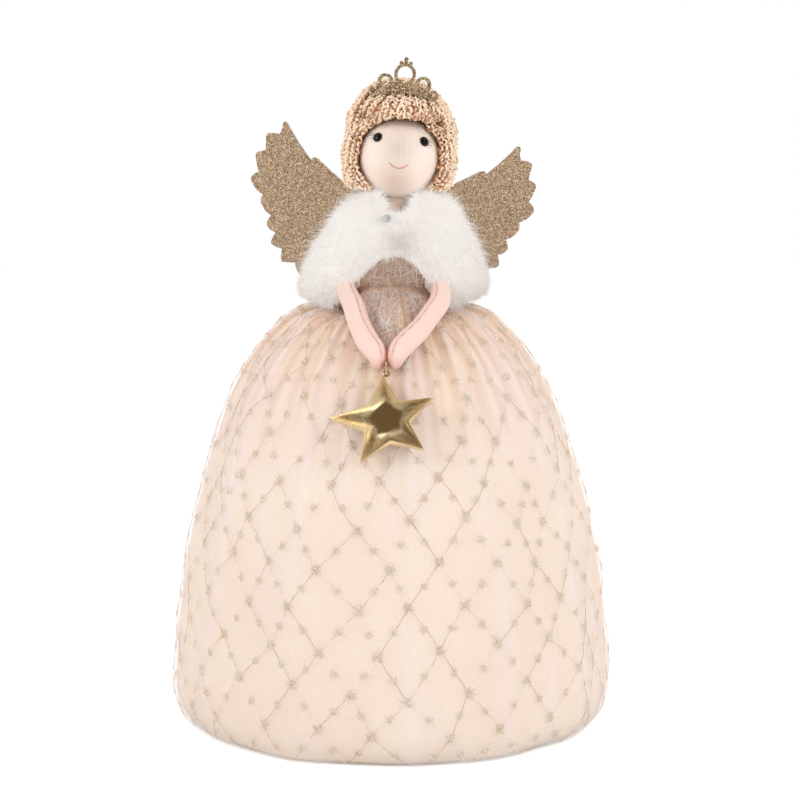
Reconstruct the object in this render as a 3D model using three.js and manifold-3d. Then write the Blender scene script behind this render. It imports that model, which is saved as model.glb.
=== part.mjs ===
// Fabric angel ornament: a doll on a full bell skirt that stands on a table or on a tree's tip.
// Millimetres, +Z up, the doll faces -Y, origin at the middle of the base disc's underside.

import * as THREE from 'three';
import { mergeVertices } from 'three/addons/utils/BufferGeometryUtils.js';
import Module from 'manifold-3d';

const wasm = await Module();
wasm.setup();

const degrees = Math.PI / 180;
const clearance = 0.3;

// Skirt
const skirtRadius = 98.4;
const skirtBellyHeight = 22;
const skirtCrownHeight = 190.8;
const skirtSidePower = 3.487;
const skirtTopPower = 1.401;
const hemRadius = 92.5;
const hemHeight = 0.8;
const waistDrop = 9.8;
const waistHeight = skirtCrownHeight - waistDrop;
const waistDipRadius = 42;
const tulleThickness = 0.6;
const liningThickness = 0.7;
const skirtLayerGap = 0.5;
const skirtFolds = 13;
const gatherDepth = 2.4;
const hemFoldDepth = 0.9;
const frontFoldShare = 0.3;
const foldCentreHeight = 100;

// Base, tree socket and wadding
const discRadius = 90;
const discHole = 22.4;
const discThickness = 2;
const coneBaseRadius = 24;
const coneTopRadius = 7;
const coneDrop = 13;
const coneTopHeight = waistHeight - coneDrop;
const coneWall = 1.2;
const coneCap = 2;

// Torso and bodice
const torsoBaseRadius = 15.5;
const torsoWaistRadius = 16.9;
const torsoChestRadius = 20.5;
const torsoShoulderRadius = 17.5;
const torsoTopRadius = 5;
const chestRise = 22;
const shoulderRise = 35;
const torsoTopRise = 45;
const torsoChestHeight = waistHeight + chestRise;
const torsoShoulderHeight = waistHeight + shoulderRise;
const torsoTopHeight = waistHeight + torsoTopRise;
const bodiceThickness = 0.8;
const bodiceHemDrop = 10;
const necklineDrop = 4;
const tieWidth = 3;
const tieThickness = 1.6;

// Head, neck and face, in the tilted frame of the head
const neckBase = new THREE.Vector3(1.0, -1.0, torsoTopHeight);
const headTilt = 5.3 * degrees;
const headRise = 29.1;
const ballRadius = 17.5;
const coverThickness = 0.5;
const dowelRadius = 2.4;
const dowelInBall = 13;
const dowelInTorso = 20;
const neckRadius = 3.3;
const eyeRadius = 2.15;
const eyeHeight = 1.4;
const eyeSpacing = 20.4;
const eyeRise = 7.95;
const mouthWidth = 8.6;
const mouthSag = 2.2;
const mouthDrop = 2.4;
const mouthThread = 0.25;
const beadRadius = 1.9;
const beadCentre = new THREE.Vector3(-1.8, -20.4, torsoTopHeight + 2.4);

// Hair
const hairRadius = 25.7;
const hairDepthShare = 0.93;
const hairTop = 33.5;
const hairShoulder = 8;
const hairLockEnd = -13;
const hairEndRadius = 24.2;
const hairCheekRadius = 26.3;
const hairCheekDrop = 4;
const faceHalfWidth = 18;
const fringeSideRise = 12.2;
const fringeMiddleRise = 17.6;
const hairPartingY = -2;

// Tiara
const tiaraThickness = 1.2;
const tiaraBendRadius = 30;
const tiaraFrontY = -15;
const tiaraSide = -0.8;
const tiaraArcRadius = 38;
const tiaraBandWidth = 2;
const tiaraBandRise = 30.4;
const mainRing = { x: 0, z: 36.7, hole: 3.4, rim: 1.4, point: 6.9 };
const middleRing = { x: 8.5, z: 32.8, hole: 2.2, rim: 1.4 };
const endRing = { x: 13.9, z: 28.5, hole: 1.25, rim: 0.9 };
const curlRing = { x: 4.2, z: 31.2, hole: 0.9, rim: 0.9 };
const fleurLobe = 0.95;
const fleurSpread = 2;
const fleurLowRise = 0;
const fleurStemRise = 0.6;
const fleurTopRise = 1.7;

// Wings
const wingThickness = 1.8;
const wingRootY = 29.5;
const leftWing = { side: -1, height: torsoShoulderHeight - 1, sweep: 14 * degrees, droop: 0 };
const rightWing = { side: 1, height: torsoShoulderHeight + 5.6, sweep: 23.6 * degrees, droop: 18 * degrees };
const wingRoot = { inner: 3, top: 13, bottom: -8 };
const wingRise = new THREE.Vector2(10, 18);
const wingShoulder = new THREE.Vector2(19.4, 25.1);
const thumbRise = new THREE.Vector2(27, 31);
const thumbTip = new THREE.Vector2(36, 39.3);
const tipRound = 1.6;
const wingHeart = new THREE.Vector2(29.4, 12.1);
const wingUnderside = new THREE.Vector2(20, -14);
const featherTips = [
  [51.3, 56.0], [60.4, 49.4], [65.6, 40.0], [68.0, 28.6], [62.6, 16.9],
  [60.2, 7.2], [58.2, -1.2], [53.0, -9.8], [44.3, -15.4],
].map(([outward, upward]) => new THREE.Vector2(outward, upward));
const featherNotch = 3.2;
const featherBulge = 0.05;
const padWidth = 15;
const padTop = torsoShoulderHeight + 12;
const padBottom = torsoShoulderHeight - 10;
const padOverlap = 4;
const padSeatShare = 0.8;

// Fur stole
const furTop = torsoTopHeight + 13;
const furBottom = waistHeight + 9.5;
const furTopRadius = 21;
const furShoulderRadius = 36.5;
const furShoulderHeight = torsoShoulderHeight + 1.7;
const furBottomRadius = 44;
const furLiningRadius = 27;
const furDepthShare = 0.74;
const furTopShift = 3.5;
const furArchRise = 22;
const furArchHalf = 40 * degrees;
const furNotchDepth = 9;
const furNotchHalf = 34 * degrees;
const furCollarGap = 6;
const furCollarShare = 0.8;
const furLiningDepthShare = 0.9;

// Arms and the tie that joins the hands
const hangX = -1.84;
const handsDrop = 22.4;
const handsStand = 9.3;
const armRadius = 4.2;
const wristRadius = 3.6;
const handRadius = 2.4;
const handGap = 1.3;
const handOverhang = 1;
const leftArmPoints = [[-20, 0.331, 8.7], [-17.3, 0.546, 6.8], [-14.4, 0.748, 8.5], [-9.4, 0.913, 12.3]];
const rightArmPoints = [[21.2, 0.331, 9.4], [19.6, 0.546, 7.8], [14.4, 0.748, 9.1], [5.6, 0.913, 12]];
const wristShare = 0.88;
const shoulderDrop = 9;
const shoulderForward = 8;
const tieRadius = 0.5;
const tieLength = 6.4;

// Star and its thread loop, in the slanted plane of the skirt's front
const starSlant = 27 * degrees;
const loopThread = 0.35;
const loopHalfWidth = 1.3;
const loopLength = 2.2;
const tabRadius = 1.6;
const tabHole = 0.75;
const tabThickness = 0.6;
const starDrop = 25.1;
const starThickness = 9.2;
const starSeam = 0.5;
const foilThickness = 0.5;
const starNotch = 10.6;
const fillingInset = 3;
const starTips = [
  { turn: -3.7, reach: 20.8 }, { turn: 62.6, reach: 22.7 }, { turn: 128.8, reach: 20.9 },
  { turn: 210.0, reach: 21.7 }, { turn: 272.5, reach: 24.2 },
];

const object = new THREE.Group();

const material = (color, roughness, metalness = 0) =>
  new THREE.MeshStandardMaterial({ color, roughness, metalness });
const card = material(0xb99f7c, 0.9);
const wadding = material(0xf4efe8, 0.95);
const satin = material(0xe9cbb4, 0.6);
const tulle = material(0xf6e9e0, 0.7);
const cotton = material(0xe5cdb9, 0.9);
const taupe = material(0xa08a78, 0.6);
const wood = material(0xc9a677, 0.7);
const face = material(0xf2dccd, 0.9);
const glossBlack = material(0x0d0c0c, 0.12);
const pinkThread = material(0xc4606a, 0.8);
const boucle = material(0xd7b08c, 0.95);
const glitter = material(0x9d8260, 0.45, 0.5);
const fur = material(0xf4edea, 1);
const felt = material(0xeac9bb, 0.9);
const gold = material(0xa78a4c, 0.22, 1);
const clear = material(0xdfe3e6, 0.1);

// Closed geometry helpers

const triangleVolume = (a, b, c) => a.dot(b.clone().cross(c)) / 6;

function closed(source) {
  const bare = new THREE.BufferGeometry();
  const flat = source.index ? source.toNonIndexed() : source;
  bare.setAttribute('position', flat.getAttribute('position').clone());
  const merged = mergeVertices(bare, 1e-4);
  const place = merged.getAttribute('position');
  const corner = (i) => new THREE.Vector3().fromBufferAttribute(place, i);
  const kept = [];
  let volume = 0;
  for (let i = 0; i < merged.index.count; i += 3) {
    const [a, b, c] = [0, 1, 2].map((k) => merged.index.getX(i + k));
    if (a === b || b === c || c === a) continue;
    kept.push([a, b, c]);
    volume += triangleVolume(corner(a), corner(b), corner(c));
  }
  const order = volume < 0 ? kept.map(([a, b, c]) => [a, c, b]) : kept;
  merged.setIndex(order.flat());
  return merged;
}

function solid(geometry) {
  const whole = closed(geometry);
  return new wasm.Manifold(new wasm.Mesh({
    numProp: 3,
    vertProperties: new Float32Array(whole.getAttribute('position').array),
    triVerts: new Uint32Array(whole.index.array),
  }));
}

function shaped(body) {
  const mesh = body.getMesh();
  const geometry = new THREE.BufferGeometry();
  geometry.setAttribute('position', new THREE.BufferAttribute(new Float32Array(mesh.vertProperties), 3));
  geometry.setIndex(Array.from(mesh.triVerts));
  return geometry;
}

// Turns a profile of [radius, height] points about Z
function turned(profile, segments) {
  const points = profile.map(([r, z]) => new THREE.Vector2(Math.max(r, 0), z));
  return new THREE.LatheGeometry(points, segments).rotateX(Math.PI / 2);
}

// Joins rings of equal point counts: the last ring meets the first, or both ends are capped
function lofted(rings, { loop = false } = {}) {
  const around = rings[0].length;
  const places = rings.flat();
  const triangles = [];
  const spans = loop ? rings.length : rings.length - 1;
  for (let i = 0; i < spans; i += 1) {
    const next = (i + 1) % rings.length;
    for (let j = 0; j < around; j += 1) {
      const k = (j + 1) % around;
      const [a, b] = [i * around + j, i * around + k];
      const [c, d] = [next * around + k, next * around + j];
      triangles.push(a, b, c, a, c, d);
    }
  }
  if (!loop) {
    [0, rings.length - 1].forEach((row, end) => {
      const hub = places.length;
      const middle = rings[row].reduce((sum, p) => sum.add(p), new THREE.Vector3());
      places.push(middle.divideScalar(around));
      for (let j = 0; j < around; j += 1) {
        const edge = [row * around + j, row * around + (j + 1) % around];
        triangles.push(hub, edge[1 - end], edge[end]);
      }
    });
  }
  const geometry = new THREE.BufferGeometry().setFromPoints(places);
  geometry.setIndex(triangles);
  return geometry;
}

// A round tube along a curve, its radius given for each share of the way
function tube(curve, radiusAt, steps, sides, loop = false) {
  const frames = curve.computeFrenetFrames(steps, loop);
  const rings = [];
  for (let i = 0; i < (loop ? steps : steps + 1); i += 1) {
    const centre = curve.getPointAt(i / steps);
    rings.push(Array.from({ length: sides }, (_, j) => {
      const turn = (2 * Math.PI * j) / sides;
      return centre.clone()
        .addScaledVector(frames.normals[i], radiusAt(i / steps) * Math.cos(turn))
        .addScaledVector(frames.binormals[i], radiusAt(i / steps) * Math.sin(turn));
    }));
  }
  return lofted(rings, { loop });
}

function rod(radius, from, to, sides = 10) {
  const along = new THREE.Vector3().subVectors(to, from);
  const upright = new THREE.Quaternion().setFromUnitVectors(
    new THREE.Vector3(0, 1, 0), along.clone().normalize());
  const middle = new THREE.Vector3().addVectors(from, to).multiplyScalar(0.5);
  return new THREE.CylinderGeometry(radius, radius, along.length(), sides)
    .applyQuaternion(upright)
    .translate(middle.x, middle.y, middle.z);
}

function add(name, geometry, finish, parent = object) {
  const mesh = new THREE.Mesh(closed(geometry), finish);
  mesh.name = name;
  parent.add(mesh);
  return mesh;
}

// Skirt layers: every layer follows one bell profile, drawn in by its depth below the tulle

const bodiceRadius = torsoWaistRadius + clearance + bodiceThickness;
const pocketRadius = bodiceRadius + clearance;
const waddingDepth = tulleThickness + liningThickness + 2 * skirtLayerGap;
const waistRimRadius = pocketRadius + waddingDepth + skirtLayerGap;
const hemShares = [1, 0.7];
const bellRows = 10;
const topCrowding = 1.75;

function bellProfile(depth) {
  const side = skirtRadius - depth;
  const rim = waistRimRadius - depth;
  const rise = skirtCrownHeight - depth - skirtBellyHeight;
  const dip = skirtCrownHeight - waistHeight;
  const lastTurn = Math.acos((rim / side) ** (skirtSidePower / 2));
  const rows = [];
  for (const share of hemShares) {
    const height = skirtBellyHeight + (hemHeight + depth * 0.5 - skirtBellyHeight) * share;
    rows.push([side - (skirtRadius - hemRadius) * share ** 3, height]);
  }
  for (let i = 0; i < bellRows; i += 1) {
    const turn = lastTurn * (1 - (1 - i / (bellRows - 1)) ** topCrowding);
    const radius = side * Math.cos(turn) ** (2 / skirtSidePower);
    const sunk = Math.max(0, (waistDipRadius - radius) / (waistDipRadius - rim)) ** 2;
    rows.push([radius, skirtBellyHeight + rise * Math.sin(turn) ** (2 / skirtTopPower) - dip * sunk]);
  }
  return rows;
}

// Radius of the bell at a height between its belly and its crown
function bellRadiusAt(height) {
  const lift = (height - skirtBellyHeight) / (skirtCrownHeight - skirtBellyHeight);
  const turn = Math.asin(lift ** (skirtTopPower / 2));
  return skirtRadius * Math.cos(turn) ** (2 / skirtSidePower);
}

// Height of the bell at a radius outside its waist dip
function bellHeightAt(radius) {
  const turn = Math.acos((radius / skirtRadius) ** (skirtSidePower / 2));
  return skirtBellyHeight + (skirtCrownHeight - skirtBellyHeight) * Math.sin(turn) ** (2 / skirtTopPower);
}

function foldDepth(turn, height) {
  const climb = Math.min(1, Math.max(0, (height - skirtBellyHeight) / (waistHeight - skirtBellyHeight)));
  const front = Math.max(0, Math.cos(turn)) ** 2;
  const calm = 1 - (1 - frontFoldShare) * front;
  const swell = 0.5 + 0.5 * Math.cos(skirtFolds * turn);
  return (hemFoldDepth + (gatherDepth - hemFoldDepth) * climb ** 2) * calm * swell;
}

// Points round the Z axis, turn 0 facing -Y
const roundAbout = (radius, height, turn) =>
  new THREE.Vector3(radius * Math.sin(turn), -radius * Math.cos(turn), height);

function skirtShell(depth, thickness, segments, folded) {
  const ring = ([radius, height]) => Array.from({ length: segments }, (_, j) => {
    const turn = (2 * Math.PI * j) / segments;
    const stand = folded ? foldDepth(turn, height) : 0;
    const away = new THREE.Vector2(radius, Math.max(0, height - foldCentreHeight)).setLength(stand);
    return roundAbout(radius + away.x, height + away.y, turn);
  });
  const outside = bellProfile(depth).map(ring);
  const inside = bellProfile(depth + thickness).map(ring).reverse();
  return lofted([...outside, ...inside], { loop: true });
}

const foldSteps = 4;
const skirtSegments = skirtFolds * foldSteps;
add('skirt_overlay', skirtShell(0, tulleThickness, skirtSegments, true), tulle);
add('skirt_lining', skirtShell(tulleThickness + skirtLayerGap, liningThickness, skirtSegments / 2, false), satin);

// Base disc, card cone and wadding

const coneBase = discThickness + clearance;
const coneRadiusAt = (height) =>
  coneBaseRadius + ((coneTopRadius - coneBaseRadius) * (height - coneBase)) / (coneTopHeight - coneBase);
const roundSegments = skirtSegments / 2;

add('base_disc', turned([
  [discHole, 0], [discRadius, 0], [discRadius, discThickness], [discHole, discThickness], [discHole, 0],
], roundSegments), card);

add('tree_cone', turned([
  [coneBaseRadius - coneWall, coneBase], [coneBaseRadius, coneBase], [coneTopRadius, coneTopHeight],
  [0, coneTopHeight], [0, coneTopHeight - coneCap],
  [coneRadiusAt(coneTopHeight - coneCap) - coneWall, coneTopHeight - coneCap],
  [coneBaseRadius - coneWall, coneBase],
], roundSegments), card);

const torsoBase = coneTopHeight + clearance;
const waddingRows = bellProfile(waddingDepth).map(([radius, height]) => [radius, Math.max(height, coneBase)]);
const wedge = coneRadiusAt(coneTopHeight) + clearance;
const waddingProfile = [
  ...waddingRows,
  [pocketRadius, waddingRows.at(-1)[1]],
  [pocketRadius, coneTopHeight],
  [wedge, coneTopHeight],
  [coneBaseRadius + clearance, coneBase],
];
const waddingRing = ([radius, height]) => Array.from({ length: roundSegments }, (_, j) =>
  roundAbout(radius, height, (2 * Math.PI * j) / roundSegments));
add('petticoat', lofted(waddingProfile.map(waddingRing), { loop: true }), wadding);

// Torso and bodice

const torsoOutline = new THREE.SplineCurve([
  new THREE.Vector2(torsoBaseRadius, torsoBase),
  new THREE.Vector2(torsoWaistRadius, waistHeight),
  new THREE.Vector2(torsoChestRadius, torsoChestHeight),
  new THREE.Vector2(torsoShoulderRadius, torsoShoulderHeight),
  new THREE.Vector2(torsoTopRadius, torsoTopHeight),
]);
const torsoSteps = 9;
const torsoPoints = torsoOutline.getPoints(torsoSteps).map((p) => [p.x, p.y]);

const headFrame = new THREE.Matrix4()
  .makeTranslation(neckBase)
  .multiply(new THREE.Matrix4().makeRotationY(headTilt))
  .multiply(new THREE.Matrix4().makeTranslation(0, 0, headRise));
const inHead = (x, y, z) => new THREE.Vector3(x, y, z).applyMatrix4(headFrame);
const axisPoint = (height) => new THREE.Vector3(0, 0, height);
const dowelLow = -headRise - dowelInTorso;
const dowelHigh = -ballRadius + dowelInBall;
const boreRadius = dowelRadius + clearance;

const torsoBore = rod(boreRadius, axisPoint(dowelLow - clearance), axisPoint(0), 12).applyMatrix4(headFrame);
const torso = solid(turned([[0, torsoBase], ...torsoPoints, [0, torsoTopHeight]], 24))
  .subtract(solid(torsoBore));
add('torso_core', shaped(torso), cotton);

function bodiceGeometry(grow) {
  const within = torsoPoints.filter(([, height]) =>
    height > waistHeight - bodiceHemDrop && height < torsoTopHeight - necklineDrop);
  const inner = within.map(([radius, height]) => [radius + clearance - grow, height]);
  const outer = within.map(([radius, height]) => [radius + clearance + bodiceThickness + grow, height]);
  return turned([...outer, ...inner.reverse(), outer[0]], 24);
}
add('bodice', bodiceGeometry(0), taupe);

// A full body that stands for the bodice and torso with room round them
const bodyRoom = solid(turned([
  [0, torsoBase],
  ...torsoPoints.map(([radius, height]) => [radius + 2 * clearance + bodiceThickness, height]),
  [0, torsoTopHeight + clearance],
], 24));

function torsoRadiusAt(height) {
  const above = torsoPoints.findIndex(([, z]) => z >= height);
  const [[r0, z0], [r1, z1]] = [torsoPoints[above - 1], torsoPoints[above]];
  return THREE.MathUtils.mapLinear(height, z0, z1, r0, r1);
}
const tieBase = waistHeight + clearance;
const tieInner = torsoRadiusAt(tieBase + tieWidth) + 2 * clearance + bodiceThickness;
add('waist_tie', turned([
  [tieInner, tieBase], [tieInner + tieThickness, tieBase + clearance],
  [tieInner + tieThickness, tieBase + tieWidth - clearance], [tieInner, tieBase + tieWidth],
  [tieInner, tieBase],
], 24), satin);

// Head, neck and face

const head = new THREE.Group();
headFrame.decompose(head.position, head.quaternion, head.scale);
object.add(head);

const coverRadius = ballRadius + clearance + coverThickness;
const sphereSides = 20;
const sphereRows = 9;

// Sphere profile from the neck's opening up to the crown
function spherePoints(radius, opening) {
  const start = Math.asin(opening / radius);
  return Array.from({ length: sphereRows + 1 }, (_, i) => {
    const turn = start + ((Math.PI - start) * i) / sphereRows;
    return [radius * Math.sin(turn), -radius * Math.cos(turn)];
  });
}

add('head_ball', turned([
  [0, dowelHigh + clearance], [boreRadius, dowelHigh + clearance],
  ...spherePoints(ballRadius, boreRadius),
], sphereSides), wood, head);

const neckOpening = neckRadius + clearance;
add('head_cover', turned([
  ...spherePoints(coverRadius, neckOpening),
  ...spherePoints(ballRadius + clearance, neckOpening).reverse(),
  spherePoints(coverRadius, neckOpening)[0],
], sphereSides), face, head);

add('neck_dowel', rod(dowelRadius, axisPoint(dowelLow), axisPoint(dowelHigh)), wood, head);

const sleeveTop = -Math.sqrt(ballRadius ** 2 - neckRadius ** 2) - clearance;
const sleeveBase = -headRise + clearance * 2;
add('neck_sleeve', turned([
  [boreRadius, sleeveBase], [neckRadius, sleeveBase], [neckRadius, sleeveTop],
  [boreRadius, sleeveTop], [boreRadius, sleeveBase],
], 16), cotton, head);

const eyeSeat = coverRadius + clearance;
for (const [name, side] of [['left_eye', -1], ['right_eye', 1]]) {
  const x = (side * eyeSpacing) / 2;
  const outward = new THREE.Vector3(x, -Math.sqrt(coverRadius ** 2 - x ** 2 - eyeRise ** 2), eyeRise).normalize();
  const dome = [0, 1, 2, 3].map((i) => {
    const turn = (i * Math.PI) / 6;
    return [eyeRadius * Math.cos(turn), eyeHeight * Math.sin(turn)];
  });
  const eye = add(name, turned([[0, 0], ...dome], 16), glossBlack, head);
  eye.position.copy(outward.clone().multiplyScalar(eyeSeat));
  eye.quaternion.setFromUnitVectors(new THREE.Vector3(0, 0, 1), outward);
}

const onFace = (x, z, lift) => {
  const reach = coverRadius + lift;
  return new THREE.Vector3(x, -Math.sqrt(reach ** 2 - x ** 2 - z ** 2), z);
};
const smile = new THREE.CatmullRomCurve3([-1, -0.5, 0, 0.5, 1].map((share) =>
  onFace((share * mouthWidth) / 2, -mouthDrop - mouthSag * (1 - share ** 2), clearance + mouthThread)));
add('mouth_stitch', tube(smile, () => mouthThread, 8, 6), pinkThread, head);

// Hair: one bob of yarn, parted into the strands' four bundles

const hairProfile = [[0, hairLockEnd], [hairEndRadius, hairLockEnd], [hairCheekRadius, -hairCheekDrop]];
const domeRows = 6;
for (let i = 0; i <= domeRows; i += 1) {
  const turn = (i * Math.PI) / 2 / domeRows;
  hairProfile.push([
    hairRadius * Math.cos(turn), hairShoulder + (hairTop - hairShoulder) * Math.sin(turn),
  ]);
}
const hairBlock = 80;
const block = (x0, x1, y0, y1, z0, z1) => solid(new THREE.BoxGeometry(x1 - x0, y1 - y0, z1 - z0)
  .translate((x0 + x1) / 2, (y0 + y1) / 2, (z0 + z1) / 2));

const faceShape = new THREE.Shape();
faceShape.moveTo(-faceHalfWidth, -hairBlock);
faceShape.lineTo(faceHalfWidth, -hairBlock);
faceShape.lineTo(faceHalfWidth, fringeSideRise);
faceShape.quadraticCurveTo(0, 2 * fringeMiddleRise - fringeSideRise, -faceHalfWidth, fringeSideRise);
faceShape.closePath();
const faceOpening = solid(new THREE.ExtrudeGeometry(faceShape, {
  depth: hairBlock, bevelEnabled: false, curveSegments: 8,
}).rotateX(Math.PI / 2).translate(0, hairPartingY, 0));

const headRoom = solid(turned([
  [0, -hairBlock], [coverRadius + clearance, -hairBlock],
  [coverRadius + clearance, 0],
  ...spherePoints(coverRadius + clearance, coverRadius * 0.99).filter(([, z]) => z > 1),
], sphereSides));
const hair = solid(turned(hairProfile, 24).scale(1, hairDepthShare, 1))
  .subtract(headRoom)
  .subtract(faceOpening);

// Tiara: rings, curls and a band cut from one glitter sheet, then bent round the brow

const tiaraRings = [middleRing, endRing, curlRing].flatMap(({ x, z, hole, rim }) =>
  [-1, 1].map((side) => ({ x: side * x, z, hole, outer: hole + rim })));
const mainRingTop = mainRing.z + mainRing.hole + mainRing.rim;
const fleur = [
  { x: 0, z: mainRingTop + fleurTopRise },
  { x: 0, z: mainRingTop + fleurStemRise },
  { x: -fleurSpread, z: mainRingTop + fleurLowRise },
  { x: fleurSpread, z: mainRingTop + fleurLowRise },
];

const sheet = (outline, sides, thickness = tiaraThickness) => solid(new THREE.ExtrudeGeometry(outline, {
  depth: thickness, bevelEnabled: false, curveSegments: sides,
}));
const disc = (x, z, radius) => new THREE.Shape().absarc(x, z, radius, 0, 2 * Math.PI);
const punch = (outline, sides) => sheet(outline, sides, 3 * tiaraThickness).translate(0, 0, -tiaraThickness);

// A circle drawn down to a point, which lies below its centre
function teardrop({ x, z }, radius, point) {
  const half = Math.acos(radius / point);
  const from = half - Math.PI / 2;
  const outline = new THREE.Shape();
  outline.moveTo(x, z - point);
  outline.lineTo(x + radius * Math.cos(from), z + radius * Math.sin(from));
  outline.absarc(x, z, radius, from, Math.PI - from);
  outline.closePath();
  return outline;
}

const arcCentreZ = tiaraBandRise - tiaraArcRadius;
const arcHalf = Math.asin((endRing.x + endRing.hole) / tiaraArcRadius);
const bandShape = new THREE.Shape();
bandShape.absarc(0, arcCentreZ, tiaraArcRadius, Math.PI / 2 - arcHalf, Math.PI / 2 + arcHalf, false);
bandShape.absarc(0, arcCentreZ, tiaraArcRadius - tiaraBandWidth, Math.PI / 2 + arcHalf,
  Math.PI / 2 - arcHalf, true);
bandShape.closePath();

let tiaraSheet = sheet(bandShape, 10)
  .add(sheet(teardrop(mainRing, mainRing.hole + mainRing.rim, mainRing.point), 9));
for (const { x, z, outer } of tiaraRings) tiaraSheet = tiaraSheet.add(sheet(disc(x, z, outer), 8));
for (const { x, z } of fleur) tiaraSheet = tiaraSheet.add(sheet(disc(x, z, fleurLobe), 4));
tiaraSheet = tiaraSheet.subtract(punch(teardrop(mainRing, mainRing.hole, mainRing.point - 2 * mainRing.rim), 9));
for (const { x, z, hole } of tiaraRings) tiaraSheet = tiaraSheet.subtract(punch(disc(x, z, hole), 6));

// The sheet lies in X and Y: its Y becomes height, and its X goes round the bend
function bent(geometry, thickness) {
  const place = geometry.getAttribute('position');
  for (let i = 0; i < place.count; i += 1) {
    const turn = place.getX(i) / tiaraBendRadius;
    const radius = tiaraBendRadius + thickness / 2 - place.getZ(i);
    const height = place.getY(i);
    place.setXYZ(i, tiaraSide + radius * Math.sin(turn), tiaraFrontY + tiaraBendRadius - radius * Math.cos(turn), height);
  }
  return geometry;
}
add('tiara', bent(shaped(tiaraSheet), tiaraThickness), glitter, head);

const slotThickness = tiaraThickness + 2 * clearance;
const slotLength = 2 * (endRing.x + endRing.hole + endRing.rim + clearance);
const bandEnd = arcCentreZ + (tiaraArcRadius - tiaraBandWidth) * Math.cos(arcHalf);
const slotFloor = Math.min(endRing.z - endRing.hole - endRing.rim, bandEnd) - 2 * clearance;
const slotBox = new THREE.BoxGeometry(slotLength, hairBlock, slotThickness, 12, 1, 1)
  .translate(0, slotFloor + hairBlock / 2, slotThickness / 2);
const tiaraSlot = solid(bent(closed(slotBox), slotThickness));

const seam = clearance / 2;
const frontLow = [-hairBlock, hairPartingY - seam, -hairBlock, fringeSideRise - seam];
add('hair_back', shaped(hair.intersect(
  block(-hairBlock, hairBlock, hairPartingY + seam, hairBlock, -hairBlock, hairBlock))
  .subtract(tiaraSlot)), boucle, head);
add('hair_fringe', shaped(hair.intersect(
  block(-hairBlock, hairBlock, -hairBlock, hairPartingY - seam, fringeSideRise + seam, hairBlock))
  .subtract(tiaraSlot)), boucle, head);
add('hair_left', shaped(hair.intersect(block(-hairBlock, -seam, ...frontLow))), boucle, head);
add('hair_right', shaped(hair.intersect(block(seam, hairBlock, ...frontLow))), boucle, head);

// Arms and hand tie

// The arms come out of the stole and lie over the skirt. Each point has its place across, its share
// of the way out to the hands, and its height over the tulle.
const hangHeight = skirtCrownHeight - handsDrop;
const hang = new THREE.Vector3(hangX, -bellRadiusAt(hangHeight) - handsStand, hangHeight);
const shoulderPoint = (x) => new THREE.Vector3(x, -shoulderForward, torsoShoulderHeight - shoulderDrop);
const overSkirt = ([x, share, above]) => new THREE.Vector3(
  x, hang.y * share, bellHeightAt(Math.hypot(x, hang.y * share)) + above);
const handPoint = (side) => new THREE.Vector3(hangX + side * (handGap / 2 + handRadius), hang.y, hang.z)
  .add(new THREE.Vector3(0, tieRadius, tieRadius - handOverhang));
const armRoutes = {
  left_arm: [shoulderPoint(-21.5), ...leftArmPoints.map(overSkirt), handPoint(-1)],
  right_arm: [shoulderPoint(22.5), ...rightArmPoints.map(overSkirt), handPoint(1)],
};
const armSteps = 14;
const fingertipShare = 0.55;
function armGeometry(route, grow) {
  const radiusAt = (share) => {
    const plain = share < wristShare
      ? THREE.MathUtils.lerp(armRadius, wristRadius, share / wristShare)
      : THREE.MathUtils.lerp(wristRadius, handRadius, (share - wristShare) / (1 - wristShare));
    const rounding = Math.min(1, (1 - share) * armSteps + fingertipShare);
    return plain * rounding + grow;
  };
  return tube(new THREE.CatmullRomCurve3(route), radiusAt, armSteps, 10);
}
const tieFrom = new THREE.Vector3(hangX - tieLength / 2, hang.y, hang.z);
const tieTo = new THREE.Vector3(hangX + tieLength / 2, hang.y, hang.z);
const tieRoom = solid(rod(tieRadius + clearance, tieFrom.clone().setX(hangX - hairBlock),
  tieTo.clone().setX(hangX + hairBlock), 12));
let armRoom = null;
for (const [name, route] of Object.entries(armRoutes)) {
  const arm = solid(armGeometry(route, 0)).subtract(bodyRoom).subtract(tieRoom);
  add(name, shaped(arm), felt);
  const roomy = solid(armGeometry(route, 2 * clearance));
  armRoom = armRoom ? armRoom.add(roomy) : roomy;
}
add('hand_tie', rod(tieRadius, tieFrom, tieTo), pinkThread);

// Fur stole

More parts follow.
